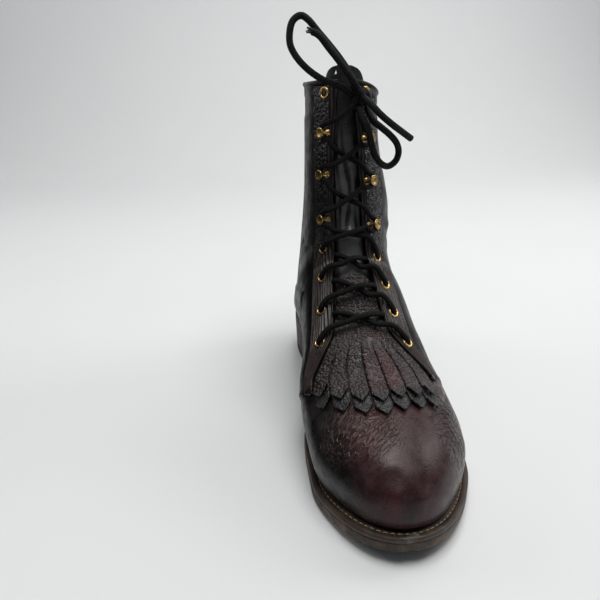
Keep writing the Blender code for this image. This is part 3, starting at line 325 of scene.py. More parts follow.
def section(row, side, count=140):
    """Points of one half section of the upper, from the ridge at the front to its far end."""
    value = {name: float(column(SECTION_ROWS, SECTION_COLUMNS, name, row)) for name in SECTION_COLUMNS}
    front_y = (value["front_y"] - 0.5) * OUTSOLE_LENGTH
    back_y = (value["back_y"] - 0.5) * OUTSOLE_LENGTH
    ball_y = (SWING_END - 0.5) * OUTSOLE_LENGTH
    base = float(sole_top(min(front_y, ball_y))) + SEAT_GAP
    front_z = base + value["front_rise"] * INSTEP_HEIGHT
    front_z += value["front_shaft"] * (RIM_HEIGHT - SOLE_EDGE - SEAT_GAP - INSTEP_HEIGHT)
    back_z = float(sole_top(back_y)) + SEAT_GAP + value["back_rise"] * (RIM_HEIGHT - HEEL_SEAT)
    t = (1 - np.cos(np.linspace(0, np.pi, count))) / 2
    t = t ** 1.15
    end = 0.0 if row >= HEEL_ROW else float(feather_half(back_y, side))
    half = max(value["medial" if side < 0 else "lateral"] * BALL_WIDTH, end)
    widest = value["widest"]
    front = np.clip(1 - t / widest, 0, 1) ** value["front_power"]
    rear = np.clip((t - widest) / (1 - widest), 0, 1) ** value["back_power"]
    keep = end / half
    body = half * np.where(t <= widest, (1 - front) ** (1 / value["front_power"]),
                           keep + (1 - keep) * (1 - rear) ** (1 / value["back_power"]))
    stretched = FEATHER_TOE + t * (back_y - FEATHER_TOE)
    across = (1 - value["vamp"]) * feather_half(stretched, side) + value["vamp"] * body
    ridge = -RIDGE_SHIFT * value["ridge"]
    axis_vamp = ridge + (float(toe_swing(back_y)) - ridge) * (1 - (1 - t) ** 1.6)
    axis = (1 - value["vamp"]) * toe_swing(stretched) + value["vamp"] * axis_vamp
    dip = RIM_DIP_LATERAL if side > 0 else RIM_DIP_MEDIAL
    sink = dip * ease((row - DIP_ROW) / (RIM_ROW - DIP_ROW)) * np.sin(np.pi * t ** 0.75) ** 1.2
    y = front_y + t * (back_y - front_y)
    z = front_z + t * (back_z - front_z) - sink
    if row < 1e-6:
        z = sole_top(y) + SEAT_GAP
    return np.stack([axis + side * across - ORIGIN_X, y, z], axis=1)


class Last:
    """The outer surface of the upper, read by section number and distance from the ridge."""
    ROWS_PER_SECTION = 8
    SAMPLES = 200

    def __init__(self):
        self.rows = np.linspace(0, RIM_ROW, RIM_ROW * self.ROWS_PER_SECTION + 1)
        self.points, self.length, self.normals = {}, {}, {}
        for side in SIDES.values():
            grid, lengths = [], []
            for row in self.rows:
                points = section(row, side)
                along = lengths_along(points)
                grid.append(places_at(np.linspace(0, along[-1], self.SAMPLES), along, points))
                lengths.append(along[-1])
            grid = np.array(grid)
            self.points[side] = grid
            self.length[side] = np.array(lengths)
            across = np.gradient(grid, axis=1)
            upward = np.gradient(grid, axis=0)
            across[:, 0] = np.array([side, 0, 0]) * np.linalg.norm(across[:, 0], axis=1)[:, None]
            heel = self.rows >= HEEL_ROW
            across[heel, -1] = np.array([-side, 0, 0]) * np.linalg.norm(across[heel, -1], axis=1)[:, None]
            normal = np.cross(across, upward) * side
            self.normals[side] = normal / np.maximum(np.linalg.norm(normal, axis=2)[:, :, None], 1e-12)

    def read(self, table, row, share):
        i = np.clip(row * self.ROWS_PER_SECTION, 0, len(self.rows) - 1.000001)
        j = np.clip(share, 0, 1) * (self.SAMPLES - 1.000001)
        i0, j0 = i.astype(int), j.astype(int)
        u, v = (i - i0)[..., None], (j - j0)[..., None]
        return ((1 - u) * ((1 - v) * table[i0, j0] + v * table[i0, j0 + 1])
                + u * ((1 - v) * table[i0 + 1, j0] + v * table[i0 + 1, j0 + 1]))

    def girth(self, row, side):
        return np.interp(row, self.rows, self.length[side])

    def normal(self, row, side, distance):
        row, distance = np.broadcast_arrays(np.asarray(row, float), np.asarray(distance, float))
        normal = self.read(self.normals[side], row, distance / self.girth(row, side))
        return normal / np.linalg.norm(normal, axis=-1, keepdims=True)

    def point(self, row, side, distance, lift=0.0):
        """Points of the surface at distances from the ridge, raised along the normal."""
        row, distance, lift = np.broadcast_arrays(*(np.asarray(v, float) for v in (row, distance, lift)))
        share = distance / self.girth(row, side)
        place = self.read(self.points[side], row, share)
        extra = np.maximum(row - RIM_ROW, 0)[..., None]
        top = self.read(self.points[side], np.full_like(row, RIM_ROW), share)
        below = self.read(self.points[side], np.full_like(row, RIM_ROW - 0.5), share)
        return place + (top - below) * extra * 2 + self.normal(row, side, distance) * lift[..., None]


LAST = Last()


def facing_edge(row, side, edge):
    """Distance of the facing's inner or outer edge from the ridge; further down, a plain mesh line."""
    row = np.asarray(row, float)
    name = edge + ("_medial" if side < 0 else "_lateral")
    marked = column(FACING_ROWS, FACING_COLUMNS, name, np.maximum(row, TIP_SECTION), "section") * BALL_WIDTH
    at_tip = float(column(FACING_ROWS, FACING_COLUMNS, name, TIP_SECTION, "section")) * BALL_WIDTH
    share = at_tip / LAST.girth(TIP_SECTION, side)
    blend = ease((TIP_SECTION - row) / 2.4)
    lower = LAST.girth(row, side) * (share + (TOE_INNER_SHARE - share) * blend)
    return np.where(row >= TIP_SECTION, marked, lower)


def facing_top(row, share=0.4):
    """Height of the facing's top over the upper: thicker at the inner edge, where it meets the fringe."""
    raised = FACING_LIFT_AT_FRINGE * (1 - ease((np.asarray(row, float) - 8.2) / 2.6)) * (1 - share)
    return SEAT_GAP + FACING_THICKNESS + raised


def fringe_height(row):
    return column(FRINGE_ROWS, FRINGE_COLUMNS, "height", row, "section") * FRINGE_THICKNESS


# Mesh helpers


def mesh_object(name, points, faces, attributes=None):
    """Smooth mesh object from arrays, with point attributes that its material reads."""
    mesh = bpy.data.meshes.new(name)
    mesh.from_pydata([tuple(p) for p in points], [], faces)
    for key, values in (attributes or {}).items():
        layer = mesh.attributes.new(key, "FLOAT", "POINT")
        layer.data.foreach_set("value", np.asarray(values, np.float32))
    mesh.update()
    mesh.shade_smooth()
    thing = bpy.data.objects.new(name, mesh)
    bpy.context.scene.collection.objects.link(thing)
    return thing


def dress(thing, finishes, slot, *nodes):
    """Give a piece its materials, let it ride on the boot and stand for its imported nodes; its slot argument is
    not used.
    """
    thing.data.materials.clear()
    for finish in finishes if isinstance(finishes, tuple) else (finishes,):
        thing.data.materials.append(finish)
    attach(thing, "root")
    if nodes:
        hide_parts(*nodes)


def ring_faces(rings, sides, flip=False, base=0):
    """Four-sided faces between rings of points that follow each other."""
    faces = []
    for a in range(base, base + (rings - 1) * sides, sides):
        for k in range(sides):
            near, far = ((k + 1) % sides, k) if flip else (k, (k + 1) % sides)
            faces.append((a + near, a + far, a + sides + far, a + sides + near))
    return faces


def ring_caps(rings, sides, flip=False, base=0):
    """Faces that close the first and the last ring."""
    first = list(range(base, base + sides))
    last = [k + (rings - 1) * sides for k in first]
    return [tuple(first), tuple(last[::-1])] if flip else [tuple(first[::-1]), tuple(last)]


class Sheet:
    """Two layers of points over a grid of keys, closed with walls along the free edges."""

    def __init__(self):
        self.index = {}
        self.outer, self.inner, self.values, self.cells = [], [], [], []

    def grid(self, label, outer, inner, values, weld=None):
        """Add a block of points; weld maps its (i, j) places to keys shared with other blocks."""
        ids = np.zeros(outer.shape[:2], int)
        values = {k: np.broadcast_to(v, ids.shape) for k, v in values.items()}
        for i, j in np.ndindex(ids.shape):
            key = (weld(i, j) if weld else None) or (label, i, j)
            if key not in self.index:
                self.index[key] = len(self.outer)
                self.outer.append(outer[i, j])
                self.inner.append(inner[i, j])
                self.values.append({k: float(v[i, j]) for k, v in values.items()})
            ids[i, j] = self.index[key]
        return ids

    def fill(self, ids, side, keep=None):
        for i, j in np.ndindex(ids.shape[0] - 1, ids.shape[1] - 1):
            if keep is None or keep(i, j):
                cell = (ids[i, j], ids[i, j + 1], ids[i + 1, j + 1], ids[i + 1, j])
                self.cells.append(cell if side > 0 else cell[::-1])

    def build(self, name):
        count = len(self.outer)
        faces = [tuple(int(k) for k in cell) for cell in self.cells]
        edges = set()
        for cell in faces:
            edges.update(zip(cell, cell[1:] + cell[:1]))
        walls = sorted((b, a, a + count, b + count) for a, b in edges if (b, a) not in edges)
        under = [tuple(k + count for k in reversed(cell)) for cell in faces]
        attributes = {k: [v[k] for v in self.values] * 2 for k in self.values[0]}
        rim = {point for wall in walls for point in wall[:2]}
        attributes["lining"] = [0.0] * count + [0.0 if point in rim else 1.0 for point in range(count)]
        return mesh_object(name, self.outer + self.inner, faces + under + walls, attributes)


def tube(name, places, radius, sides):
    """Round closed tube along a route; its UV runs along the tube in diameters and once round it."""
    places = np.asarray(places, float)
    radius = np.broadcast_to(np.asarray(radius, float), (len(places),))
    along = lengths_along(places) / LACE_DIAMETER
    ahead = np.gradient(places, axis=0)
    ahead /= np.linalg.norm(ahead, axis=1, keepdims=True)
    guide = np.cross(ahead[0], (0.0, 0.3, 1.0))
    points, corners = [], []
    for i, place in enumerate(places):
        guide = guide - ahead[i] * np.dot(guide, ahead[i])
        guide /= np.linalg.norm(guide)
        other = np.cross(ahead[i], guide)
        for k in range(sides):
            angle = 2 * math.pi * k / sides
            points.append(place + radius[i] * (guide * math.cos(angle) + other * math.sin(angle)))
    for near, far in zip(along, along[1:]):
        for k in range(sides):
            low, high = k / sides, (k + 1) / sides
            corners += [(near, low), (near, high), (far, high), (far, low)]
    corners += [(along[0], k / sides) for k in reversed(range(sides))]
    corners += [(along[-1], k / sides) for k in range(sides)]
    thing = mesh_object(name, points, ring_faces(len(places), sides) + ring_caps(len(places), sides))
    thing.data.uv_layers.new(name="run").data.foreach_set("uv", np.asarray(corners, np.float32).ravel())
    thing.data.set_sharp_from_angle(angle=math.radians(50))
    return thing


def joined(name, things):
    """One mesh object from several."""
    first = things[0]
    with bpy.context.temp_override(active_object=first, selected_editable_objects=things):
        bpy.ops.object.join()
    first.name = name
    first.data.name = name
    return first


def smooth_route(points, spacing):
    """Evenly spaced points on a rounded curve through the route's own points."""
    points = np.array(points, float)
    fine = []
    for i in range(len(points) - 1):
        p1, p2 = points[i], points[i + 1]
        p0 = points[i - 1] if i else 2 * p1 - p2
        p3 = points[i + 2] if i + 2 < len(points) else 2 * p2 - p1
        for u in np.linspace(0, 1, 24, endpoint=False):
            fine.append(0.5 * (2 * p1 + (p2 - p0) * u + (2 * p0 - 5 * p1 + 4 * p2 - p3) * u ** 2
                               + (3 * p1 - p0 - 3 * p2 + p3) * u ** 3))
    fine.append(points[-1])
    fine = np.array(fine)
    along = lengths_along(fine)
    count = max(3, int(round(along[-1] / spacing)) + 1)
    return places_at(np.linspace(0, along[-1], count), along, fine)


# Finishes

TONE = {
    "burgundy": (0.034, 0.0140, 0.0150),
    "burgundy_light": (0.070, 0.030, 0.031),
    "burgundy_red": (0.110, 0.016, 0.020),
    "black": (0.0055, 0.0050, 0.0055),
    "black_light": (0.022, 0.021, 0.023),
    "sole": (0.060, 0.034, 0.020),
    "sole_light": (0.150, 0.095, 0.055),
    "sole_dark": (0.018, 0.012, 0.009),
    "brass": (0.78, 0.52, 0.20),
    "brass_dark": (0.16, 0.08, 0.03),
    "lace": (0.006, 0.006, 0.007),
    "lining": (0.16, 0.11, 0.075),
    "thread": (0.38, 0.31, 0.21),
    "dust": (0.45, 0.42, 0.38),
}


def feed(tree, node, values):
    """Set a node's inputs, or link them where the value is another node's output."""
    for key, value in values.items():
        socket = node.inputs[key]
        if isinstance(value, bpy.types.NodeSocket):
            tree.links.new(value, socket)
        elif socket.type == "RGBA":
            socket.default_value = (*value[:3], 1.0)
        else:
            socket.default_value = value
    return node


def add_node(tree, kind, values=None, **settings):
    node = tree.nodes.new(kind)
    for key, value in settings.items():
        setattr(node, key, value)
    return feed(tree, node, values or {})


def own_place(tree):
    """The piece's own coordinates in metres."""
    return add_node(tree, "ShaderNodeTexCoord").outputs["Object"]


def noise(tree, vector, scale, detail, roughness=0.5):
    return add_node(tree, "ShaderNodeTexNoise", {"Vector": vector, "Scale": scale, "Detail": detail,
                                                 "Roughness": roughness})


def scaled(tree, vector, factor):
    return add_node(tree, "ShaderNodeVectorMath", {0: vector, "Scale": factor}, operation="SCALE").outputs[0]


def added(tree, a, b):
    return add_node(tree, "ShaderNodeVectorMath", {0: a, 1: b}, operation="ADD").outputs[0]


def ramp(tree, source, low, high, out_low=0.0, out_high=1.0):
    """Soft step of a value from one range to another."""
    return add_node(tree, "ShaderNodeMapRange", {"Value": source, "From Min": low, "From Max": high,
                                                 "To Min": out_low, "To Max": out_high},
                    interpolation_type="SMOOTHSTEP").outputs["Result"]


def math_node(tree, operation, *values):
    return add_node(tree, "ShaderNodeMath", dict(enumerate(values)), operation=operation).outputs[0]


def mix_color(tree, factor, a, b):
    return add_node(tree, "ShaderNodeMix", {0: factor, 6: a, 7: b}, data_type="RGBA").outputs[2]


def new_group(name, inputs, outputs):
    """Empty shader node group with named inputs and outputs."""
    tree = bpy.data.node_groups.new(name, "ShaderNodeTree")
    for label, kind, value in inputs:
        socket = tree.interface.new_socket(label, in_out="INPUT", socket_type=kind)
        if value is not None:
            socket.default_value = value
    for label, kind in outputs:
        tree.interface.new_socket(label, in_out="OUTPUT", socket_type=kind)
    return tree, tree.nodes.new("NodeGroupInput"), tree.nodes.new("NodeGroupOutput")


def leather_grain():
    """Pebbled leather: raised grains with pits between them, over long soft wrinkles."""
    tree, given, out = new_group(
        "leather grain",
        [("Grain Size", "NodeSocketFloat", 1.0), ("Pebble", "NodeSocketFloat", 1.0),
         ("Wrinkle", "NodeSocketFloat", 0.4), ("Fine", "NodeSocketFloat", 0.3)],
        [("Height", "NodeSocketFloat"), ("Pits", "NodeSocketFloat"), ("Blotch", "NodeSocketFloat")])
    place = scaled(tree, own_place(tree), math_node(tree, "DIVIDE", 1 / MM, given.outputs["Grain Size"]))
    shifted = added(tree, place, noise(tree, place, 0.35, 2.0).outputs["Color"])
    cells = add_node(tree, "ShaderNodeTexVoronoi", {"Vector": shifted, "Scale": 0.9, "Randomness": 0.9,
                                                    "Smoothness": 0.35}, feature="SMOOTH_F1")
    pebble = ramp(tree, cells.outputs["Distance"], 0.15, 0.75, 1.0, 0.0)
    wide = noise(tree, place, 0.16, 3.0, 0.55).outputs[0]
    fine = noise(tree, place, 2.4, 3.0, 0.6).outputs[0]
    height = math_node(tree, "MULTIPLY", pebble, given.outputs["Pebble"])
    for label, source in (("Wrinkle", wide), ("Fine", fine)):
        height = math_node(tree, "ADD", height, math_node(tree, "MULTIPLY", source, given.outputs[label]))
    feed(tree, out, {"Height": height, "Pits": ramp(tree, pebble, 0.0, 0.42, 1.0, 0.0), "Blotch": wide})
    return tree


def dust_specks():
    """Tiny pale specks and a thin uneven film of dust."""
    tree, given, out = new_group(
        "dust specks",
        [("Color", "NodeSocketColor", (0.1, 0.1, 0.1, 1.0)), ("Amount", "NodeSocketFloat", 0.5),
         ("Spacing", "NodeSocketFloat", 9.0)],
        [("Color", "NodeSocketColor"), ("Mask", "NodeSocketFloat")])
    place = scaled(tree, own_place(tree), math_node(tree, "DIVIDE", 1 / MM, given.outputs["Spacing"]))
    specks = add_node(tree, "ShaderNodeTexVoronoi", {"Vector": place, "Scale": 1.0, "Randomness": 1.0})
    dots = ramp(tree, specks.outputs["Distance"], 0.020, 0.045, 1.0, 0.0)
    chosen = add_node(tree, "ShaderNodeSeparateColor", {0: specks.outputs["Color"]}).outputs[0]
    dots = math_node(tree, "MULTIPLY", dots, math_node(tree, "GREATER_THAN", chosen, 0.55))
    haze = ramp(tree, noise(tree, place, 0.45, 5.0, 0.65).outputs[0], 0.48, 0.80, 0.0, 0.16)
    mask = math_node(tree, "MULTIPLY", math_node(tree, "MAXIMUM", dots, haze), given.outputs["Amount"])
    feed(tree, out, {"Color": mix_color(tree, mask, given.outputs["Color"], TONE["dust"]), "Mask": mask})
    return tree


GRAIN = leather_grain()
DUST = dust_specks()


def new_material(name):
    material = bpy.data.materials.new(name)
    material.use_nodes = True
    return material, material.node_tree, material.node_tree.nodes["Principled BSDF"]


def use_group(tree, group, values):
    return add_node(tree, "ShaderNodeGroup", values, node_tree=group)


def attribute(tree, name):
    return add_node(tree, "ShaderNodeAttribute", attribute_name=name).outputs["Fac"]


def bump(tree, shader, height, depth):
    """Bump of a real depth in metres."""
    node = add_node(tree, "ShaderNodeBump", {"Height": height, "Strength": 1.0, "Distance": depth})
    feed(tree, shader, {"Normal": node.outputs[0]})


NET_WARP = 0.5


def wrinkle_net(tree, angle, rise, stretch, cell):
    """Lines of a wrinkled patch: 1 on the lines, which run along an angle in plan and rise by another."""
    place = own_place(tree)
    for turn in ((0, 0, -math.radians(angle)), (0, math.radians(rise), 0)):
        place = add_node(tree, "ShaderNodeMapping", {"Vector": place, "Rotation": turn}).outputs[0]
    wobble = noise(tree, place, 160.0, 3.0).outputs["Color"]
    size = (1 / (cell * stretch * MM), 1 / (cell * MM), 1 / (cell * MM))
    grid = add_node(tree, "ShaderNodeMapping", {"Vector": place, "Scale": size}).outputs[0]
    cells = add_node(tree, "ShaderNodeTexVoronoi", {"Vector": added(tree, grid, scaled(tree, wobble, NET_WARP)),
                                                    "Scale": 1.0, "Randomness": 1.0}, feature="DISTANCE_TO_EDGE")
    return ramp(tree, cells.outputs["Distance"], 0.0, 0.20, 1.0, 0.0)


def leather(name, base, light, grain, pebble, wrinkle, depth, roughness, dust, masks=(), nets=(), shine=0.30,
            lined=False):
    """Worn leather with painted shade in its grain's pits; masks are (attribute, colour, strength) patches
    painted over the base, some of them painted shade and painted highlight, and nets are
    (attribute, angle, rise, stretch, cell, height, tint, strength) wrinkle patches."""
    material, tree, shader = new_material(name)
    grained = use_group(tree, GRAIN, {"Grain Size": grain, "Pebble": pebble, "Wrinkle": wrinkle})
    blotch, height = grained.outputs["Blotch"], grained.outputs["Height"]
    color = mix_color(tree, ramp(tree, blotch, 0.36, 0.78, 0.0, 0.7), base, light)
    # The pits between the grains are darkened to near black: painted shade.
    pit_share = math_node(tree, "MULTIPLY", grained.outputs["Pits"], min(1.0, pebble) * 0.8)
    color = mix_color(tree, pit_share, color, tuple(v * 0.18 for v in base))
    for label, tint, strength in masks:
        value = attribute(tree, label)
        value = ramp(tree, value, -0.35, 0.35) if label == "edge" else value
        color = mix_color(tree, math_node(tree, "MULTIPLY", value, strength), color, tint)
    for label, angle, rise, stretch, cell, high, tint, strength in nets:
        net = wrinkle_net(tree, angle, rise, stretch, cell)
        lines = math_node(tree, "MULTIPLY", net, attribute(tree, label))
        color = mix_color(tree, math_node(tree, "MULTIPLY", lines, strength), color, tint)
        height = math_node(tree, "ADD", height, math_node(tree, "MULTIPLY", lines, high / depth))
    dusty = use_group(tree, DUST, {"Color": color, "Amount": dust})
    inside = math_node(tree, "MULTIPLY", attribute(tree, "lining"), 1.0 if lined else 0.0)
    rough = ramp(tree, blotch, 0.3, 0.75, roughness - 0.08, roughness + 0.10)
    rough = math_node(tree, "ADD", rough, math_node(tree, "MULTIPLY", dusty.outputs["Mask"], 0.4))
    rough = math_node(tree, "MAXIMUM", rough, math_node(tree, "MULTIPLY", inside, 0.8))
    feed(tree, shader, {"Base Color": mix_color(tree, inside, dusty.outputs["Color"], TONE["lining"]),
                        "Roughness": rough, "Specular IOR Level": shine})
    bump(tree, shader, height, depth)
    return material


# Upper

ROWS_PER_SECTION = 9
THROAT_CELLS = 10
SIDE_CELLS = 92
BEAD_ROWS = BEAD_HEIGHT / SHAFT_SECTION

# Creases: points in the boot's own millimetres, depth (minus for a trough) and half width in
# millimetres. The ends fade out.
CREASES = (
    ((-31, 70, 112), (-30, 30, 116), -1.2, 2.6),
    ((-30, 72, 104), (-33, 28, 108), 0.7, 3.0),
    ((30, 55, 119), (24, 22, 124), -1.3, 2.4),
    ((31, 58, 127), (22, 30, 132), 0.8, 3.2),
    ((30, 50, 111), (28, 18, 114), 0.6, 3.0),
    ((-46, -92, 46), (-16, -98, 56), -0.5, 1.8),
    ((-16, -98, 56), (16, -90, 52), -0.5, 1.8),
    ((-47, -86, 44), (-38, -92, 51), 0.5, 1.6),
    ((20, -92, 50), (36, -66, 46), -0.7, 2.0),
    ((22, -98, 46), (38, -72, 42), 0.5, 2.2),
    ((26, -104, 40), (42, -78, 34), -0.5, 2.2),
    ((24, -86, 54), (34, -62, 52), -0.5, 1.6),
    ((30, -50, 58), (36, -20, 50), -0.4, 3.0),
    ((-46, -40, 56), (-44, -10, 58), -0.4, 3.0),
)


def segment_share(places, start, end):
    """Distance of each place from a segment and its share along it."""
    start, end = np.array(start, float) * MM, np.array(end, float) * MM
    run = end - start
    share = ((places - start) @ run) / (run @ run)
    nearest = start + np.clip(share, 0, 1)[..., None] * run
    return np.linalg.norm(places - nearest, axis=-1), share


def crease_relief(places):
    lift = np.zeros(places.shape[:-1])
    for start, end, depth, width in CREASES:
        distance, share = segment_share(places, start, end)
        fade = ease((share + 0.15) / 0.3) * ease((1.15 - share) / 0.3)
        lift += depth * MM * bell(distance, width * MM) * fade
    return lift


def waves(places, direction, length, seed):
    """Uneven ripples across a direction, between -1 and 1."""
    direction = np.array(direction, float)
    direction /= np.linalg.norm(direction)
    phase = (places @ direction) / (length * MM)
    other = np.cross(direction, (0.31, 0.2, 0.93))
    sway = np.sin((places @ other) / (length * 2.7 * MM) + seed)
    return np.sin(2 * math.pi * phase + 2.1 * sway + seed) * (0.65 + 0.35 * np.sin(3.1 * sway + phase))


def pebbles(places, size, seed):
    """Domes of uneven grains, from 0 between them to 1 on top, by distance to the nearest grain's middle."""
    scaled = places / (size * MM)
    cell = np.floor(scaled).astype(int)
    nearest = np.full(places.shape[:-1], 9.0)
    for offset in np.ndindex(3, 3, 3):
        corner = cell + np.array(offset) - 1
        mixed = corner @ np.array((127.1, 311.7, 74.7)) + seed
        jitter = np.stack([np.mod(np.sin(mixed + k * 19.19) * 43758.5453, 1.0) for k in range(3)], axis=-1)
        nearest = np.minimum(nearest, np.linalg.norm(corner + jitter - scaled, axis=-1))
    return ease(1.15 - nearest * 1.2)


def around(places, centre, radii):
    """1 at a centre and softly 0 beyond its radii."""
    offset = (places - np.array(centre) * MM) / (np.array(radii) * MM)
    return ease(1.25 - np.linalg.norm(offset, axis=-1))


# Soft wrinkles of the vamp: height, direction, length, seed, centre and radii in millimetres
WRINKLES = (
    (0.24, (-0.55, 0.75, -0.35), 5.2, 0.4, (-29, -100, 50), (24, 19, 18)),
    (0.16, (-0.30, 0.90, -0.2), 7.4, 1.7, (-38, -96, 44), (18, 18, 16)),
    (0.22, (0.55, 0.75, -0.2), 5.6, 2.2, (30, -92, 42), (14, 28, 18)),
)
TOE_DENT = (-18.2, -130.7, 41.6)


def vamp_relief(places):
    """Wrinkles of the vamp and the ring-shaped dent in the toe."""
    lift = 0
    for height, direction, length, seed, centre, radii in WRINKLES:
        lift = lift + height * MM * waves(places, direction, length, seed) * around(places, centre, radii)
    dent = np.linalg.norm(places - np.array(TOE_DENT) * MM, axis=-1)
    lift += 0.50 * MM * bell(dent - 7.5 * MM, 2.2 * MM) - 0.65 * MM * bell(dent, 4.8 * MM)
    return lift


def counter_edge(places):
    """Signed distance in millimetres from the heel counter's upper edge, negative inside the counter."""
    y, z = places[..., 1] / MM, places[..., 2] / MM
    return np.maximum(z - (78 - 0.30 * (y - 60)), 0.9 * (40 - y) - 0.35 * (z - 40))


def counter_relief(places):
    """Stiff counter that stands a little proud round the heel."""
    return 0.7 * MM * ease(-counter_edge(places) / 3.0)


QUARTER_STEP = 0.0007


def quarter_edge(places):
    """Signed distance in millimetres from the vamp's edge, positive on the black quarter."""
    y, z = places[..., 1] / MM, places[..., 2] / MM
    line = -58 + 0.9 * np.maximum(56 - z, 0) + 0.012 * np.maximum(56 - z, 0) ** 2
    above = np.where(z > 56, (z - 56) * 0.8, 0)
    return (y - line) * 0.74 + above * 0.4


def upper_rows():
    rows = list(np.linspace(0, 20.6, int(20.6 * ROWS_PER_SECTION)))
    proud = [0.0] * len(rows)
    low = RIM_ROW - BEAD_ROWS
    for share in np.linspace(0, 1, 9):
        rows.append(low + BEAD_ROWS * share)
        proud.append(BEAD_PROUD * math.sqrt(max(0.0, 1 - (2 * share - 0.9) ** 2 / 1.3)))
    return np.array(rows), np.array(proud)


def side_distances(row, side):
    inner = float(facing_edge(row, side, "inner"))
    end = float(LAST.girth(row, side))
    return inner + (end - inner) * np.linspace(0, 1, SIDE_CELLS + 1)


def second_finish(thing, sheet, label, limit):
    """Give the second finish to the faces whose mask passes a limit."""
    mask = np.array([values[label] for values in sheet.values] * 2)
    chosen = [int(mask[list(face.vertices)].mean() > limit) for face in thing.data.polygons]
    thing.data.polygons.foreach_set("material_index", chosen)


def upper_leather(vamp, quarter):
    """Vamp, quarters and shaft with their creases, seams and lining."""
    rows, proud = upper_rows()
    heel = rows >= HEEL_ROW
    throat_rows = int(np.searchsorted(rows, THROAT_SECTION + 1e-9))
    sheet = Sheet()
    for side in SIDES.values():
        distance = np.array([side_distances(row, side) for row in rows])
        first = np.array([np.linspace(0, edge, THROAT_CELLS + 1) for edge in distance[:, 0]])
        for label, values in (("throat", first), ("wall", distance)):
            grid_rows = np.broadcast_to(rows[:, None], values.shape)
            places = LAST.point(grid_rows, side, values, 0.0)
            lift = crease_relief(places) + vamp_relief(places) + counter_relief(places)
            lift += QUARTER_STEP * ease(quarter_edge(places) / 0.9 + 0.5)
            feather = ease((places[..., 2] - sole_top(places[..., 1])) / (4 * MM))
            lift = lift * feather - 0.8 * MM * (1 - feather)
            band = 0.40 * MM * ease((grid_rows - (RIM_ROW - 0.90)) / 0.05)
            lift = np.where(grid_rows > 19.5, 0.0, lift) + np.maximum(band, proud[:, None])
            outer = LAST.point(grid_rows, side, values, lift)
            inner = LAST.point(grid_rows, side, values, -WALL)
            at_feather = np.zeros(values.shape, bool)
            at_feather[0] = True
            if label == "wall":
                at_feather[~heel, -1] = True
            inner[..., 2] = np.where(at_feather, outer[..., 2], inner[..., 2])
            masks = {
                "edge": quarter_edge(places),
                "red": around(places, (-20, -137, 30), (5.5, 9, 9)) * 0.5,
                # dark: painted shade, near black, over the vamp's medial side towards the toe, where the
                # neighbouring boot shades it; it also darkens the upper within 4 mm of the welt and two spots
                # beside the red patch at the toe's foot.
                "dark": np.clip(1 - feather, 0, 1) * 0.8 + ease((-29 - places[..., 0] / MM) / 13)
                * ease((-25 - places[..., 1] / MM) / 30) + 0.5 * around(places, (-12, -138, 29), (5, 8, 10))
                + 0.4 * around(places, (-32, -134, 29), (5, 8, 10)),
                "medial_net": around(places, (-29, -98, 50), (26, 21, 20)),
                "lateral_net": np.clip(1.2 * around(places, (32, -92, 44), (17, 42, 27)), 0, 1),
            }

            def weld(i, j, label=label, side=side):
                if j == (THROAT_CELLS if label == "throat" else 0):
                    return ("joint", side, i)
                if label == "throat" and j == 0:
                    return ("middle", i)
                if label == "wall" and j == SIDE_CELLS and heel[i]:
                    return ("back", i)
                return (label, side, i, j)

            if label == "throat":
                mirrored = LAST.point(grid_rows, -side, values, lift)
                outer[:, 0, 0] = (outer[:, 0, 0] + mirrored[:, 0, 0]) / 2
            else:
                for layer, depth in ((outer, lift[:, -1]), (inner, -WALL)):
                    back = LAST.point(rows, -side, LAST.girth(rows, -side), depth)
                    layer[heel, -1] = ((layer[:, -1] + back) / 2)[heel]
            kept = slice(throat_rows if label == "throat" else None)
            masks = {key: mask[kept] for key, mask in masks.items()}
            sheet.fill(sheet.grid(label, outer[kept], inner[kept], masks, weld), side)
    thing = sheet.build("upper_leather")
    dress(thing, (vamp, quarter), "burgundy_leather", "upper")
    second_finish(thing, sheet, "edge", 0.6)


# Facings, tongue and fringe

FACING_LENGTH_CELLS = 300
FACING_WIDTH_CELLS = 64


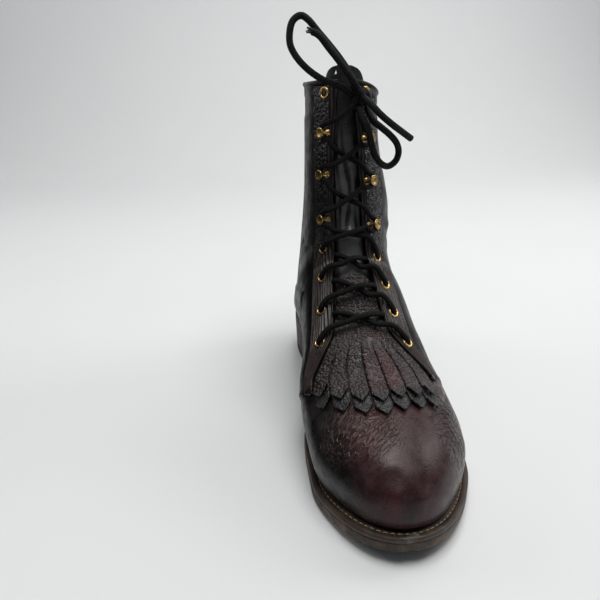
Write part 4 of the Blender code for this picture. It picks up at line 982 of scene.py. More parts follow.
def facing_leather(name, side, finish, ribbed):
    """Facing strip with a rounded edge, turned welts along the throat and a sewn outer edge."""
    low = TIP_SECTION - 0.02
    high = RIM_ROW - BEAD_ROWS - 0.05
    rows = low + (high - low) * np.linspace(0, 1, FACING_LENGTH_CELLS) ** 1.1
    share = np.linspace(0, 1, FACING_WIDTH_CELLS + 1)
    share = share - 0.06 * np.sin(2 * math.pi * share)
    inner_edge = facing_edge(rows, side, "inner")
    outer_edge = facing_edge(rows, side, "outer")
    distance = inner_edge[:, None] + (outer_edge - inner_edge)[:, None] * share[None, :]
    grid_rows = np.broadcast_to(rows[:, None], distance.shape)
    top = facing_top(grid_rows, share[None, :])
    from_inner = (distance - inner_edge[:, None]) / MM
    from_outer = (outer_edge[:, None] - distance) / MM
    edge = np.minimum(from_inner, from_outer)
    rounding = -0.55 * MM * np.clip(1 - edge / 0.8, 0, 1) ** 2
    low_part = ease((13.5 - rows[:, None]) / 3.0)
    reach = 5.0 + 15.0 * low_part
    sway = 0.5 * np.sin(rows[:, None] * 2.3 + from_inner * 0.5)
    crest = np.sin(2 * math.pi * (from_inner + sway) / 2.1 + 0.8)
    lines = ease((reach - from_inner) / 2.0) * ease((rows[:, None] - 6.9) / 0.3) * ease(from_outer / 1.0)
    ribs = 0.45 * MM * crest * lines
    places = LAST.point(grid_rows, side, distance, top)
    rough = pebbles(places, 2.7, 3.0) * 0.66 * MM + pebbles(places, 1.4, 8.0) * 0.20 * MM
    rough = rough * ease((from_inner - 3.0) / 2.5) * (1 - 0.9 * low_part)
    lift = top + rounding + ribs + rough - 0.12 * MM
    outer = LAST.point(grid_rows, side, distance, lift)
    inner = LAST.point(grid_rows, side, distance, SEAT_GAP)
    masks = {
        "red": bell(from_outer - 0.6, 1.1) * ease((rows[:, None] - 11) / 2)
        * ease((17.5 - rows[:, None]) / 2) * 0.9,
        "dark": 0.88 + 0.12 * ease((from_inner - 2.5) / 4) * (1 - low_part),
        # crest: the rib tops painted a lighter brown, partly the leather's own worn colour and partly painted
        # highlight; the extra on the lower part, where more light falls, is painted highlight.
        "crest": ease(crest * 1.6 - 0.5) * lines * (0.75 + 0.15 * low_part),
        # pebble: painted highlight, greyish, on the tops of the grains from section 12 up.
        "pebble": ease(rough / (0.50 * MM) - 0.55) * ease((rows[:, None] - 12) / 2),
        "ribbed": lines,
    }
    sheet = Sheet()
    sheet.fill(sheet.grid(name, outer, inner, masks), side)
    thing = sheet.build(name + "_leather")
    dress(thing, (finish, ribbed), "burgundy_leather", name)
    second_finish(thing, sheet, "ribbed", 0.45)


# Small hole near the tongue's top: distance from the ridge, share of the rise and radius
TONGUE_HOLE = (0.0074, 0.42, 0.0012)


def tongue_leather(finish):
    """Tongue with its long soft folds and half-round top."""
    rise = TONGUE_RISE / SHAFT_SECTION
    low, high = 7.25, RIM_ROW + rise
    rows = np.concatenate([np.linspace(low, 19.5, 110), np.linspace(19.5, high, 26)[1:]])
    cells = 26
    end_rise = (-1.20, -0.40, 0.10, 0.60, 0.88, 1.00)
    end_width = (0.92, 0.82, 0.74, 0.62, 0.44, 0.22)
    width = smooth_curve([RIM_ROW + rise * r for r in (-1.7,) + end_rise], (1.0,) + end_width, rows)
    sheet = Sheet()
    for side in SIDES.values():
        reach = facing_edge(np.minimum(rows, RIM_ROW), side, "outer") * width
        distance = reach[:, None] * np.linspace(0, 1, cells + 1)[None, :]
        grid_rows = np.broadcast_to(rows[:, None], distance.shape)
        base = -WALL - SHEET_GAP - 0.0006 * ease((grid_rows - 18.5) / 2)
        across = side * distance / MM
        inside = ease((grid_rows - 12.0) / 1.5) * ease((19.6 - grid_rows) / 1.5)
        folds = -1.5 * bell(across - 0.5 - 2.6 * np.sin(grid_rows * 1.25 + 0.6), 1.5) * inside
        folds += -1.1 * bell(across + 7.0 - 1.2 * np.sin(grid_rows * 1.7), 1.6) * inside
        folds += -1.0 * bell(across - 8.0 + 1.0 * np.sin(grid_rows * 1.4), 1.8) * inside
        folds += 0.35 * np.sin(grid_rows * 2.9 + across * 0.25) * inside
        lift = base + folds * MM
        outer = LAST.point(grid_rows, side, distance, lift)
        inner = LAST.point(grid_rows, side, distance, base - TONGUE_THICKNESS)
        # dark: painted shade in the folds' troughs and beyond 7 mm from the middle, under the facings' edges; it
        # also darkens the tongue towards the top.
        dark = np.maximum(ease((np.abs(across) - 7.0) / 4), ease((-folds - 0.45) / 0.7)) * 0.95
        masks = {"dark": np.maximum(dark, 0.9 * ease((grid_rows - 17.6) / 1.6))}

        def weld(i, j, side=side):
            return ("middle", i) if j == 0 else ("tongue", side, i, j)

        def clear_of_hole(i, j, side=side, rows=rows, distance=distance):
            up = (rows[i] - RIM_ROW - rise * TONGUE_HOLE[1]) * SHAFT_SECTION
            return side > 0 or math.hypot(up, distance[i, j] - TONGUE_HOLE[0]) > TONGUE_HOLE[2]

        sheet.fill(sheet.grid("tongue", outer, inner, masks, weld), side, clear_of_hole)
    dress(sheet.build("tongue_leather"), finish, "black_leather", "tongue")


# The fringe's strips part at FRINGE_SPLIT; each has its curl in millimetres and its share of red
FRINGE_TOP_SECTION = FRINGE_ROWS[-1][0]
FRINGE_SPLIT = 7.8
FRINGE_BODY_ROWS = 40
STRIP_CURL = (1.6, 1.5, 1.3, 1.2, 1.5, 1.8, 2.0)
STRIP_RED = (0.0, 0.0, 0.0, 0.30, 0.60, 0.12, 0.0)
STRIP_CELLS = 8
STRIP_LENGTH_CELLS = 30


def fringe_point(row, across, lift):
    """Points of a fringe layer: across runs from -1, the medial edge, to 1, the lateral edge."""
    row, across, lift = np.broadcast_arrays(*(np.asarray(v, float) for v in (row, across, lift)))
    places = np.zeros(row.shape + (3,))
    for name, side in SIDES.items():
        half = column(FRINGE_ROWS, FRINGE_COLUMNS, name, row, "section") * BALL_WIDTH
        found = LAST.point(row, side, np.abs(across) * half, fringe_height(row) + lift)
        pick = across >= 0 if side > 0 else across < 0
        places[pick] = found[pick]
    return places


def fringe_leather(name, layer, finish, slot):
    """One layer of the fringed false tongue; each strip's pointed end curls up a little."""
    base = layer * (FRINGE_THICKNESS + SHEET_GAP)
    extra = 0.0 if layer else FRINGE_LAYER_STEP / VAMP_SECTION
    body_rows = np.linspace(FRINGE_TOP_SECTION, FRINGE_SPLIT, FRINGE_BODY_ROWS)
    lines = FRINGE_STRIPS * STRIP_CELLS
    sheet = Sheet()
    across = np.broadcast_to((2 * np.arange(lines + 1) / lines - 1)[None, :], (FRINGE_BODY_ROWS, lines + 1))
    grid_rows = np.broadcast_to(body_rows[:, None], across.shape)
    masks = {"red": 0.4 * bell(across - 0.35, 0.22) * ease((8.6 - grid_rows) / 0.8), "tip": 0.0, "dark": 0.0}

    def body_weld(i, j):
        return ("row", j) if i == FRINGE_BODY_ROWS - 1 else None

    ids = sheet.grid("body", fringe_point(grid_rows, across, base + FRINGE_THICKNESS),
                     fringe_point(grid_rows, across, base), masks, body_weld)
    sheet.fill(ids, -1)
    share = np.linspace(0, 1, STRIP_CELLS + 1)[None, :]
    from_edge = np.minimum(share, 1 - share)
    for strip in range(FRINGE_STRIPS):
        end = STRIP_ENDS[strip] - extra
        reach = FRINGE_SPLIT - end
        rows = np.linspace(FRINGE_SPLIT, end, STRIP_LENGTH_CELLS + 1)[:, None]
        along = (FRINGE_SPLIT - rows) / reach
        slack = 0.0125 * ease((FRINGE_SPLIT - rows) / 0.4)
        low = 2 * strip / FRINGE_STRIPS - 1 + slack * (strip > 0)
        high = 2 * (strip + 1) / FRINGE_STRIPS - 1 - slack * (strip < FRINGE_STRIPS - 1)
        span = low + (high - low) * share
        point_start = 1 - 0.28 / reach
        pull = np.clip((along - point_start) / (1 - point_start), 0, 1)
        drawn = rows + pull * (1 - (1 - np.abs(2 * share - 1))) * 0.30
        curl = STRIP_CURL[strip] * (1.0 if layer else 0.75) * MM * np.clip((along - 0.62) / 0.38, 0, 1) ** 2
        curl = curl + 0.30 * MM * (2 * share - 1) ** 2 * ease((along - 0.2) / 0.5)
        crown = -0.35 * MM * (1 - ease(from_edge * 6)) * ease(along * 3)
        top = base + FRINGE_THICKNESS + curl + crown * 0.4
        masks = {
            "red": STRIP_RED[strip] * ease((along - 0.05) / 0.3) * ease((0.86 - along) / 0.15)
            + (0.9 * bell(share - 1.0, 0.10) if strip == 0 else 0.0),
            "tip": ease((along - 0.84) / 0.08),
            "dark": 0.35 * (1 - ease(from_edge * 9)),
        }

        def strip_weld(i, j, strip=strip):
            return ("row", strip * STRIP_CELLS + j) if i == 0 else ("strip", strip, i, j)

        ids = sheet.grid("strip", fringe_point(drawn, span, top), fringe_point(drawn, span, base + curl),
                         masks, strip_weld)
        sheet.fill(ids, -1)
    dress(sheet.build(name + "_leather"), finish, slot, name)


# Sole and heel


def outline_ring(name, profile, start, end, half, finish, node, slot, stations=180):
    """Slab that follows an outline: profile rows are (inset, height above the sole's underside)."""
    spread = (1 - np.cos(np.linspace(0, np.pi, stations))) / 2
    along = 0.3 * np.linspace(0, 1, stations) + 0.7 * spread
    points, faces, level = [], [], []
    count = len(profile)
    for s in along:
        for side in (-1, 1):
            for inset, height in profile:
                low, high = start + inset + 0.0002, end - inset - 0.0002
                y = low + (high - low) * s
                x = float(toe_swing(y)) + side * float(half(y, side, inset)) - ORIGIN_X
                points.append((x, y, float(sole_bottom(y)) + height))
                level.append(height)
    ring = 2 * count
    for i in range(stations - 1):
        a, b = i * ring, (i + 1) * ring
        for k in range(count - 1):
            faces.append((a + k, a + k + 1, b + k + 1, b + k))
            faces.append((b + count + k, b + count + k + 1, a + count + k + 1, a + count + k))
        faces.append((a + count - 1, a + ring - 1, b + ring - 1, b + count - 1))
        faces.append((b, b + count, a + count, a))
    tip = list(range(count)) + list(reversed(range(count, ring)))
    faces.append(tuple(reversed(tip)))
    last = (stations - 1) * ring
    faces.append(tuple(last + k for k in tip))
    low, high = min(h for inset, h in profile), max(h for inset, h in profile)
    thing = mesh_object(name, points, faces, {"level": (np.array(level) - low) / (high - low)})
    thing.data.set_sharp_from_angle(angle=math.radians(40))
    dress(thing, finish, slot, node)


def sole_pieces(edge_finish, welt_finish, inner_finish, heel_finish, lift_finish):
    tip = OUTSOLE_LENGTH / 2
    t = OUTSOLE_THICKNESS
    outline_ring("outsole_leather", ((1.2 * MM, 0.0), (0.3 * MM, 0.4 * MM), (0.0, 1.3 * MM), (0.0, t - 0.8 * MM),
                                     (0.4 * MM, t)), -tip, tip, sole_half, edge_finish, "outsole", "sole_leather")
    low, high = t + SEAT_GAP * 0.3, SOLE_EDGE
    outline_ring("welt_leather", ((0.5 * MM, low), (0.1 * MM, low + 0.5 * MM), (0.1 * MM, high - 1.0 * MM),
                                  (0.5 * MM, high - 0.3 * MM), (1.2 * MM, high), (3.2 * MM, high - 0.1 * MM),
                                  (3.9 * MM, high - 0.5 * MM), (4.6 * MM, high - 0.5 * MM), (5.4 * MM, high)),
                 -tip, tip, sole_half, welt_finish, "welt", "sole_leather")
    inward = WALL + 3 * SEAT_GAP
    bed = SOLE_EDGE + SEAT_GAP
    outline_ring("insole_board", ((0.2 * MM, bed), (0.0, bed + 0.5 * MM), (0.3 * MM, bed + INSOLE_THICKNESS)),
                 FEATHER_TOE + inward, FEATHER_HEEL - 1.5 * inward,
                 lambda y, side, inset: feather_half(y, side, inward + inset), inner_finish,
                 "insole", "insole_leather", 120)
    heel_piece("heel_top_lift_rubber", 0.0, TOP_LIFT_THICKNESS, 2, lift_finish, "heel_top_lift", "heel_rubber")
    heel_piece("heel_stack_leather", TOP_LIFT_THICKNESS + SEAT_GAP, HEEL_HEIGHT - SEAT_GAP, 4, heel_finish,
               "heel_stack", "sole_leather")


def heel_ring(z, inset):
    """Ring of points round the heel: breast, sides and back, leaning forward at the back."""
    down = 1 - z / HEEL_HEIGHT
    start = (BREAST - 0.5) * OUTSOLE_LENGTH + inset
    end = OUTSOLE_LENGTH / 2 - 0.0002
    ring = []
    for side in (-1, 1):
        line = []
        for y in start + (end - start) * np.sin(np.linspace(0, np.pi / 2, 40)):
            along = (y - start) / (end - start)
            trim = HEEL_UNDERCUT * 0.5 * down * along + inset
            reach = max(float(sole_half(y, side)) - trim, 0.0002)
            line.append((side * reach - ORIGIN_X, y - (HEEL_UNDERCUT * down + inset) * along, z))
        ring += line if side < 0 else line[::-1]
    return ring


def heel_piece(name, low, high, layers, finish, node, slot):
    """Stacked lifts of the heel with fine grooves between them."""
    levels = [(low, 0.5 * MM)]
    step = (high - low) / layers
    for k in range(layers):
        bottom, top = low + k * step, low + (k + 1) * step
        levels += [(bottom + 0.35 * MM, 0.05 * MM), (bottom + 0.6 * MM, 0.0), (top - 0.4 * MM, 0.0)]
        levels.append((top - 0.08 * MM, 0.22 * MM) if k < layers - 1 else (top, 0.3 * MM))
    points, level = [], []
    for z, inset in levels:
        ring = heel_ring(z, inset)
        points += ring
        level += [(z - low) / (high - low)] * len(ring)
    size = (len(levels), len(ring), True)
    bottom, top = ring_caps(*size)
    thing = mesh_object(name, points, [bottom, *ring_faces(*size), top], {"level": level})
    thing.data.set_sharp_from_angle(angle=math.radians(35))
    dress(thing, finish, slot, node)


def stitches(name, places, normals, length, radius, spacing, finish, raise_by=0.0):
    """Row of sewn stitches along a line, each a short thread that dips at both ends."""
    along = lengths_along(places)
    count = int(along[-1] / spacing)
    points, faces = [], []
    rings, sides = 5, 6
    for n in range(count):
        middle = (n + 0.5) * along[-1] / count
        ahead = places_at(middle + length / 2, along, places) - places_at(middle - length / 2, along, places)
        ahead /= np.linalg.norm(ahead)
        faces += ring_faces(rings, sides, True, len(points)) + ring_caps(rings, sides, True, len(points))
        for r in range(rings):
            share = r / (rings - 1)
            here = middle + (share - 0.5) * length
            normal = places_at(here, along, normals)
            normal = normal / np.linalg.norm(normal)
            across = np.cross(ahead, normal)
            arch = math.sin(math.pi * share)
            thick = radius * (0.45 + 0.55 * arch)
            centre = places_at(here, along, places) + normal * (raise_by + radius * (arch * 0.9 - 0.5))
            for k in range(sides):
                angle = 2 * math.pi * k / sides
                points.append(centre + (across * math.cos(angle) + normal * math.sin(angle)) * thick)
    dress(mesh_object(name, points, faces), finish, "lace_cotton")


def iso_line(side, field, first, last, count=160, low_row=2.0, high_row=19.0):
    """Places and normals on the upper where a field changes sign, one for each share of the girth."""
    rows = np.linspace(low_row, high_row, 500)
    places, normals = [], []
    for share in np.linspace(first, last, count):
        distance = LAST.girth(rows, side) * share
        values = field(LAST.point(rows, side, distance))
        change = np.nonzero((values[:-1] < 0) & (values[1:] >= 0))[0]
        if len(change) == 0:
            continue
        k = change[0]
        row = rows[k] + (rows[k + 1] - rows[k]) * values[k] / (values[k] - values[k + 1])
        reach = float(LAST.girth(row, side)) * share
        places.append(LAST.point(row, side, reach))
        normals.append(LAST.normal(row, side, reach))
    return np.array(places), np.array(normals)


def welt_stitch_line():
    """Line round the welt's top, close to the upper, from the arch round the toe and back."""
    lines = []
    for side in (-1, 1):
        y = -OUTSOLE_LENGTH / 2 + 0.0046 + 0.245 * (1 - np.cos(np.linspace(0, np.pi / 2, 300)))
        inset = 4.4 * MM - 2.0 * MM * ease((sole_share(y) - 0.40) / 0.18)
        half = np.array([float(sole_half(v, side, i)) for v, i in zip(y, inset)])
        x = toe_swing(y) + side * half - ORIGIN_X
        lines.append(np.stack([x, y, sole_top(y) - 0.25 * MM], axis=1))
    return np.concatenate([lines[0][::-1], lines[1][1:]])


def seam_pieces(pale, dark):
    line = welt_stitch_line()
    up = np.tile((0.0, 0.0, 1.0), (len(line), 1))
    stitches("welt_stitches", line, up, 2.8 * MM, 0.38 * MM, 3.7 * MM, pale, 0.1 * MM)
    for name, side in SIDES.items():
        rows = np.linspace(7.2, 20.0, 240)
        outer_edge = facing_edge(rows, side, "outer")
        for number, inset in (("inner", 3.0 * MM), ("outer", 1.4 * MM)):
            reach = outer_edge - inset
            lift = facing_top(rows, 0.85)
            stitches("facing_stitches_%s_%s" % (number, name), LAST.point(rows, side, reach, lift),
                     LAST.normal(rows, side, reach), 1.7 * MM, 0.26 * MM, 2.3 * MM, dark)
        share = np.linspace(0.30, 1.0, 200)
        row = RIM_ROW - 0.80 + 0 * share
        reach = LAST.girth(row, side) * share
        stitches("collar_stitches_" + name, LAST.point(row, side, reach), LAST.normal(row, side, reach),
                 1.9 * MM, 0.24 * MM, 2.6 * MM, dark)
        for label, field, first in (("vamp", quarter_edge, 0.42), ("counter", counter_edge, 0.60)):
            for number, inset in (("a", 1.6), ("b", 3.4)):
                places, normals = iso_line(side, lambda p: field(p) - inset, first, 0.985)
                if len(places) > 10:
                    raised = QUARTER_STEP if label == "vamp" else 0.0
                    stitches("%s_stitches_%s_%s" % (label, number, name), places + normals * raised, normals,
                             1.7 * MM, 0.24 * MM, 2.3 * MM, dark)


# Metal

EYELET_PROFILE = ((3.75, -0.3), (3.75, 0.2), (3.6, 0.5), (3.25, 0.72), (2.85, 0.70), (2.5, 0.42), (2.3, -0.1),
                  (2.25, -2.6), (2.5, -2.9))
SPOOL_PROFILE = ((2.4, -1.2), (2.4, 0.15), (2.1, 0.5), (1.8, 0.9), (1.5, 1.7), (1.35, 2.8), (1.4, 4.2),
                 (1.8, 5.2), (2.5, 5.9), (3.15, 6.2), (3.35, 6.5), (3.25, 6.85), (2.9, 6.98), (2.2, 6.8),
                 (1.2, 6.6), (0.02, 6.55))
SPOOL_LEAN = 9.0


def frame_at(row, side, distance):
    """Local axes on the upper: away from the throat, up along it, and out of the surface."""
    normal = LAST.normal(row, side, distance)
    away = LAST.point(row, side, distance + 0.002) - LAST.point(row, side, distance - 0.002)
    away = away - normal * np.dot(away, normal)
    away = away / np.linalg.norm(away)
    upward = np.cross(normal, away) * side
    return away, upward, normal


def lace_row(label, side, rows=EYELET_ROWS):
    found = [row for row in rows if row[0] == label][0]
    return found[1] if side < 0 else found[2]


def facing_place(label, side, rows=EYELET_ROWS, from_edge=HOLE_FROM_EDGE):
    """Section, side and distance of an eyelet's or a hook's middle."""
    row = lace_row(label, side, rows)
    return row, side, float(facing_edge(row, side, "inner")) + from_edge


def hole_point(label, side, lift):
    """Point over or under an eyelet's hole."""
    row, side, distance = facing_place(label, side)
    return LAST.point(row, side, distance, float(facing_top(row)) + lift)


def turned(name, centre, away, normal, profile, finish, node, closed):
    """Turned metal piece: radii and heights in millimetres round an axis, closed at its ends or ring-shaped."""
    sides = 36
    points = []
    for radius, height in profile:
        for k in range(sides):
            angle = 2 * math.pi * k / sides
            out = away * math.cos(angle) + np.cross(normal, away) * math.sin(angle)
            points.append(centre + normal * height * MM + out * radius * MM)
    faces = ring_faces(len(profile), sides)
    last = (len(profile) - 1) * sides
    faces += ring_caps(len(profile), sides) if closed else [
        (last + k, last + (k + 1) % sides, (k + 1) % sides, k) for k in range(sides)]
    dress(mesh_object(name, points, faces), finish, "brass", node)


def metal_pieces(finish):
    lean = math.radians(SPOOL_LEAN)
    for name, side in SIDES.items():
        for label, *_ in EYELET_ROWS:
            away, _, normal = frame_at(*facing_place(label, side))
            turned("brass_eyelet_%s_%s" % (name, label), hole_point(label, side, EYELET_SEAT * 0.2), away, normal,
                   EYELET_PROFILE, finish, "eyelet_%s_%s" % (name, label), False)
        for label, *_ in HOOK_ROWS_UP:
            row, side, distance = facing_place(label, side, HOOK_ROWS_UP, HOOK_FROM_EDGE)
            centre = LAST.point(row, side, distance, float(facing_top(row)) + SEAT_GAP)
            away, _, normal = frame_at(row, side, distance)
            turned("brass_hook_%s_%s" % (name, label), centre - away * 6.6 * MM * math.sin(lean),
                   away * math.cos(lean) - normal * math.sin(lean),
                   normal * math.cos(lean) + away * math.sin(lean), SPOOL_PROFILE, finish,
                   "hook_%s_%s" % (name, label), True)


# Lace

KNOT_PLACE = np.array((-0.0040, 0.0150, 0.2190))
RUN_ENDS = {
    -1: ((-0.0190, 0.0130, 0.2070), (-0.0110, 0.0120, 0.2140), KNOT_PLACE),
    1: ((-0.0030, 0.0190, 0.2080), (-0.0040, 0.0170, 0.2130), KNOT_PLACE),
}
BOW_ROUTES = {
    "lace_loop_medial": (
        (-0.0084, 0.0160, 0.2188), (-0.0144, 0.0130, 0.2236), (-0.0217, 0.0120, 0.2268),
        (-0.0299, 0.0120, 0.2297), (-0.0382, 0.0140, 0.2351), (-0.0447, 0.0160, 0.2416),
        (-0.0488, 0.0170, 0.2486), (-0.0492, 0.0180, 0.2557), (-0.0472, 0.0190, 0.2623),
        (-0.0424, 0.0190, 0.2654), (-0.0377, 0.0180, 0.2629), (-0.0323, 0.0170, 0.2569),
        (-0.0257, 0.0160, 0.2498), (-0.0189, 0.0150, 0.2420), (-0.0124, 0.0150, 0.2334),
        (-0.0066, 0.0160, 0.2235),
    ),
    "lace_end_medial": (
        (-0.0050, 0.0120, 0.2195), (-0.0102, 0.0100, 0.2277), (-0.0162, 0.0095, 0.2351),
        (-0.0219, 0.0100, 0.2421), (-0.0267, 0.0110, 0.2477), (-0.0309, 0.0115, 0.2528),
        (-0.0338, 0.0125, 0.2553), (-0.0367, 0.0130, 0.2564),
    ),
    "lace_loop_lateral": (
        (-0.0010, 0.0125, 0.2130), (-0.0005, 0.0085, 0.2098), (0.0012, 0.0045, 0.2057),
        (0.0065, 0.0030, 0.2015), (0.0123, 0.0040, 0.1971), (0.0175, 0.0060, 0.1919),
        (0.0199, 0.0080, 0.1860), (0.0182, 0.0080, 0.1803), (0.0127, 0.0070, 0.1772),
        (0.0064, 0.0045, 0.1804), (0.0018, 0.0030, 0.1870), (-0.0005, 0.0025, 0.1938),
        (-0.0022, 0.0030, 0.2005), (-0.0050, 0.0070, 0.2070), (-0.0072, 0.0115, 0.2130),
    ),
    "lace_end_lateral": (
        (-0.0034, 0.0110, 0.2190), (-0.0012, 0.0020, 0.2155), (0.0036, -0.0020, 0.2100),
        (0.0109, -0.0015, 0.2044), (0.0186, 0.0020, 0.1996), (0.0269, 0.0060, 0.1945),
    ),
}
# Turn round a hook, in lace diameters: up along the throat, away from it and out of the surface
TURN_ROWS = ((-1.22, -0.30, 0.72), (-0.86, 0.72, 0.76), (0.0, 1.20, 0.78), (0.86, 0.72, 0.76),
             (1.22, -0.30, 0.72))
BRAID_SIDES = 16
BRAID_STEP = LACE_DIAMETER * 0.3


def fringe_top(row):
    return float(fringe_height(row)) + 2 * FRINGE_THICKNESS + SHEET_GAP


def throat_clear(row):
    """Height that a lace keeps over tongue or fringe in the throat."""
    under = fringe_top(row) if row < 10.25 else -WALL
    return under + 2 * SEAT_GAP + LACE_RADIUS


def over_edge(row, side, reach=0.001):
    height = float(facing_top(row, 0.0)) + 3 * SEAT_GAP + LACE_RADIUS
    return LAST.point(row, side, float(facing_edge(row, side, "inner")) + reach, height)


def crossing_middle(low_row, high_row, raised):
    middle = (low_row + high_row) / 2
    return LAST.point(middle, 1, 0.0, throat_clear(middle) + raised)


def raised_for(side):
    """The run that rises from the medial side lies on top where two runs cross."""
    return LACE_DIAMETER * 0.80 if side < 0 else -LACE_DIAMETER * 0.08


def eyelet_run(low, high, side):
    """Run from inside an eyelet, over the facing's edge and under the opposite facing."""
    low_row, high_row = lace_row(low, side), lace_row(high, -side)
    low_mean = (lace_row(low, -1) + lace_row(low, 1)) / 2
    high_mean = (lace_row(high, -1) + lace_row(high, 1)) / 2
    near = low_row + (high_row - low_row) * 0.28
    far = low_row + (high_row - low_row) * 0.72
    far_edge = float(facing_edge(far, -side, "inner"))
    lift = raised_for(side)
    return [
        hole_point(low, side, -0.0030),
        hole_point(low, side, 0.0006),
        hole_point(low, side, 0.0024) * 0.65 + over_edge(near, side, 0.0005) * 0.35,
        over_edge(near, side, 0.0005),
        LAST.point(near + 0.05, side, float(facing_edge(near, side, "inner")) * 0.5,
                   throat_clear(near) + lift * 0.6),
        crossing_middle(low_mean, high_mean, lift),
        LAST.point(far, -side, far_edge - LACE_RADIUS - 0.0006, throat_clear(far) + 0.0002),
        LAST.point(far + 0.05, -side, far_edge + 0.0030, -WALL - LACE_RADIUS * 0.8),
        hole_point(high, -side, -0.0062),
    ]


def hook_turn(label, side):
    row, side, distance = facing_place(label, side, HOOK_ROWS_UP, HOOK_FROM_EDGE)
    away, upward, normal = frame_at(row, side, distance)
    foot = LAST.point(row, side, distance, float(facing_top(row)) + 2 * SEAT_GAP + 0.0008)
    stem = foot - away * 0.43 * HOOK_HEAD
    return [stem + (upward * u + away * a + normal * h) * LACE_DIAMETER for u, a, h in TURN_ROWS]


def hook_run(start_side):
    """Lace run from inside the first eyelet over three pairs of hooks to the knot."""
    side = start_side
    below = (lace_row("1", -1) + lace_row("1", 1)) / 2
    route = [hole_point("1", side, -0.0030), hole_point("1", side, 0.0008)]
    for label in ("3", "2", "1"):
        above = (lace_row(label, -1, HOOK_ROWS_UP) + lace_row(label, 1, HOOK_ROWS_UP)) / 2
        near = below + (above - below) * 0.30
        far = below + (above - below) * 0.74
        route.append(over_edge(near, side, 0.001 if label == "3" else -0.0005))
        route.append(crossing_middle(below, above, raised_for(side)))
        route.append(over_edge(far, -side, -0.0005))
        route += hook_turn(label, -side)
        side = -side
        below = above
    return route + [np.array(p) for p in RUN_ENDS[side]]


def knot_routes():
    """The knot's wraps: a band round the two loops' feet and the crossed strands behind it."""
    turns = []
    for tilt, wide, high, deep, offset in ((0.35, 0.0020, 0.0046, 0.0032, -0.0024),
                                           (-0.55, 0.0026, 0.0040, 0.0030, 0.0024),
                                           (0.05, 0.0012, 0.0047, 0.0037, 0.0002)):
        route = []
        for angle in np.linspace(0, 1.9 * math.pi, 22):
            x = offset + wide * math.sin(angle * 1.05) + tilt * high * math.cos(angle) * 0.6
            route.append(KNOT_PLACE + np.array((x, deep * math.sin(angle), high * math.cos(angle))))
        turns.append(np.array(route))
    return turns


def lace_tip(places):
    """A route's end and its direction there."""
    ahead = places[-1] - places[-2]
    return places[-1], ahead / np.linalg.norm(ahead)


def frayed_tip(places):
    """Loose fibres where the lace's medial end has come apart."""
    end, ahead = lace_tip(places)
    aside = np.cross(ahead, (0.0, 1.0, 0.0))
    aside = aside / np.linalg.norm(aside)
    other = np.cross(ahead, aside)
    fibres = []
    for k in range(16):
        angle, reach = k * 2.4, LACE_RADIUS * (0.25 + 0.7 * ((k * 7) % 10) / 10)
        out = aside * math.cos(angle) + other * math.sin(angle)
        length = (1.8 + 0.22 * ((k * 5) % 9)) * MM
        route = [end - ahead * MM + out * reach * 0.9, end + ahead * length * 0.4 + out * reach,
                 end + ahead * length + out * (reach + 0.45 * MM) + aside * 0.3 * MM * math.sin(k)]
        fibres.append(tube("fibre", smooth_route(route, 0.7 * MM), 0.28 * MM, 6))
    return joined("frayed_tip", fibres)


def cut_tip(places):
    """Blunt cut end of the lace with its paler core."""
    end, ahead = lace_tip(places)
    rows = [end + ahead * MM * step for step in (-0.5, 0.1, 0.35)]
    return tube("cut_tip", rows, [LACE_RADIUS * share for share in (1.02, 1.0, 0.7)], BRAID_SIDES)


def braid_pieces(name, routes, radius):
    """One piece from several lace runs."""
    return joined(name, [tube("run", smooth_route(route, BRAID_STEP), radius, BRAID_SIDES) for route in routes])


def lace_pieces(finish, tip_finish):
    """Bow, knot, crossings and hook runs, each a round braided lace."""
    cords = {}
    for name, route in BOW_ROUTES.items():
        thing = tube("bow_" + name, smooth_route(route, LACE_DIAMETER * 0.32), LACE_RADIUS, BRAID_SIDES)
        dress(thing, finish, "lace_cotton", name)
        cords[name] = (thing, smooth_route(route, LACE_DIAMETER * 0.9))
    dress(braid_pieces("bow_knot", knot_routes(), LACE_RADIUS * 0.96), finish, "lace_cotton", "lace_knot")
    trims = {"lace_end_medial": [frayed_tip(cords["lace_end_medial"][1])],
             "lace_end_lateral": [cut_tip(cords["lace_end_lateral"][1])]}
    for (tip,) in trims.values():
        dress(tip, tip_finish, "lace_cotton")
    sides = tuple(SIDES.values())
    for low, high in (("4", "3"), ("3", "2"), ("2", "1")):
        thing = braid_pieces("braided_cross_%s_%s" % (low, high), [eyelet_run(low, high, side) for side in sides],
                             RUN_RADIUS)
        dress(thing, finish, "lace_cotton", "lace_cross_%s_%s" % (low, high))
    thing = braid_pieces("braided_hook_run", [hook_run(side) for side in sides], RUN_RADIUS)
    dress(thing, finish, "lace_cotton", "lace_hook_run")


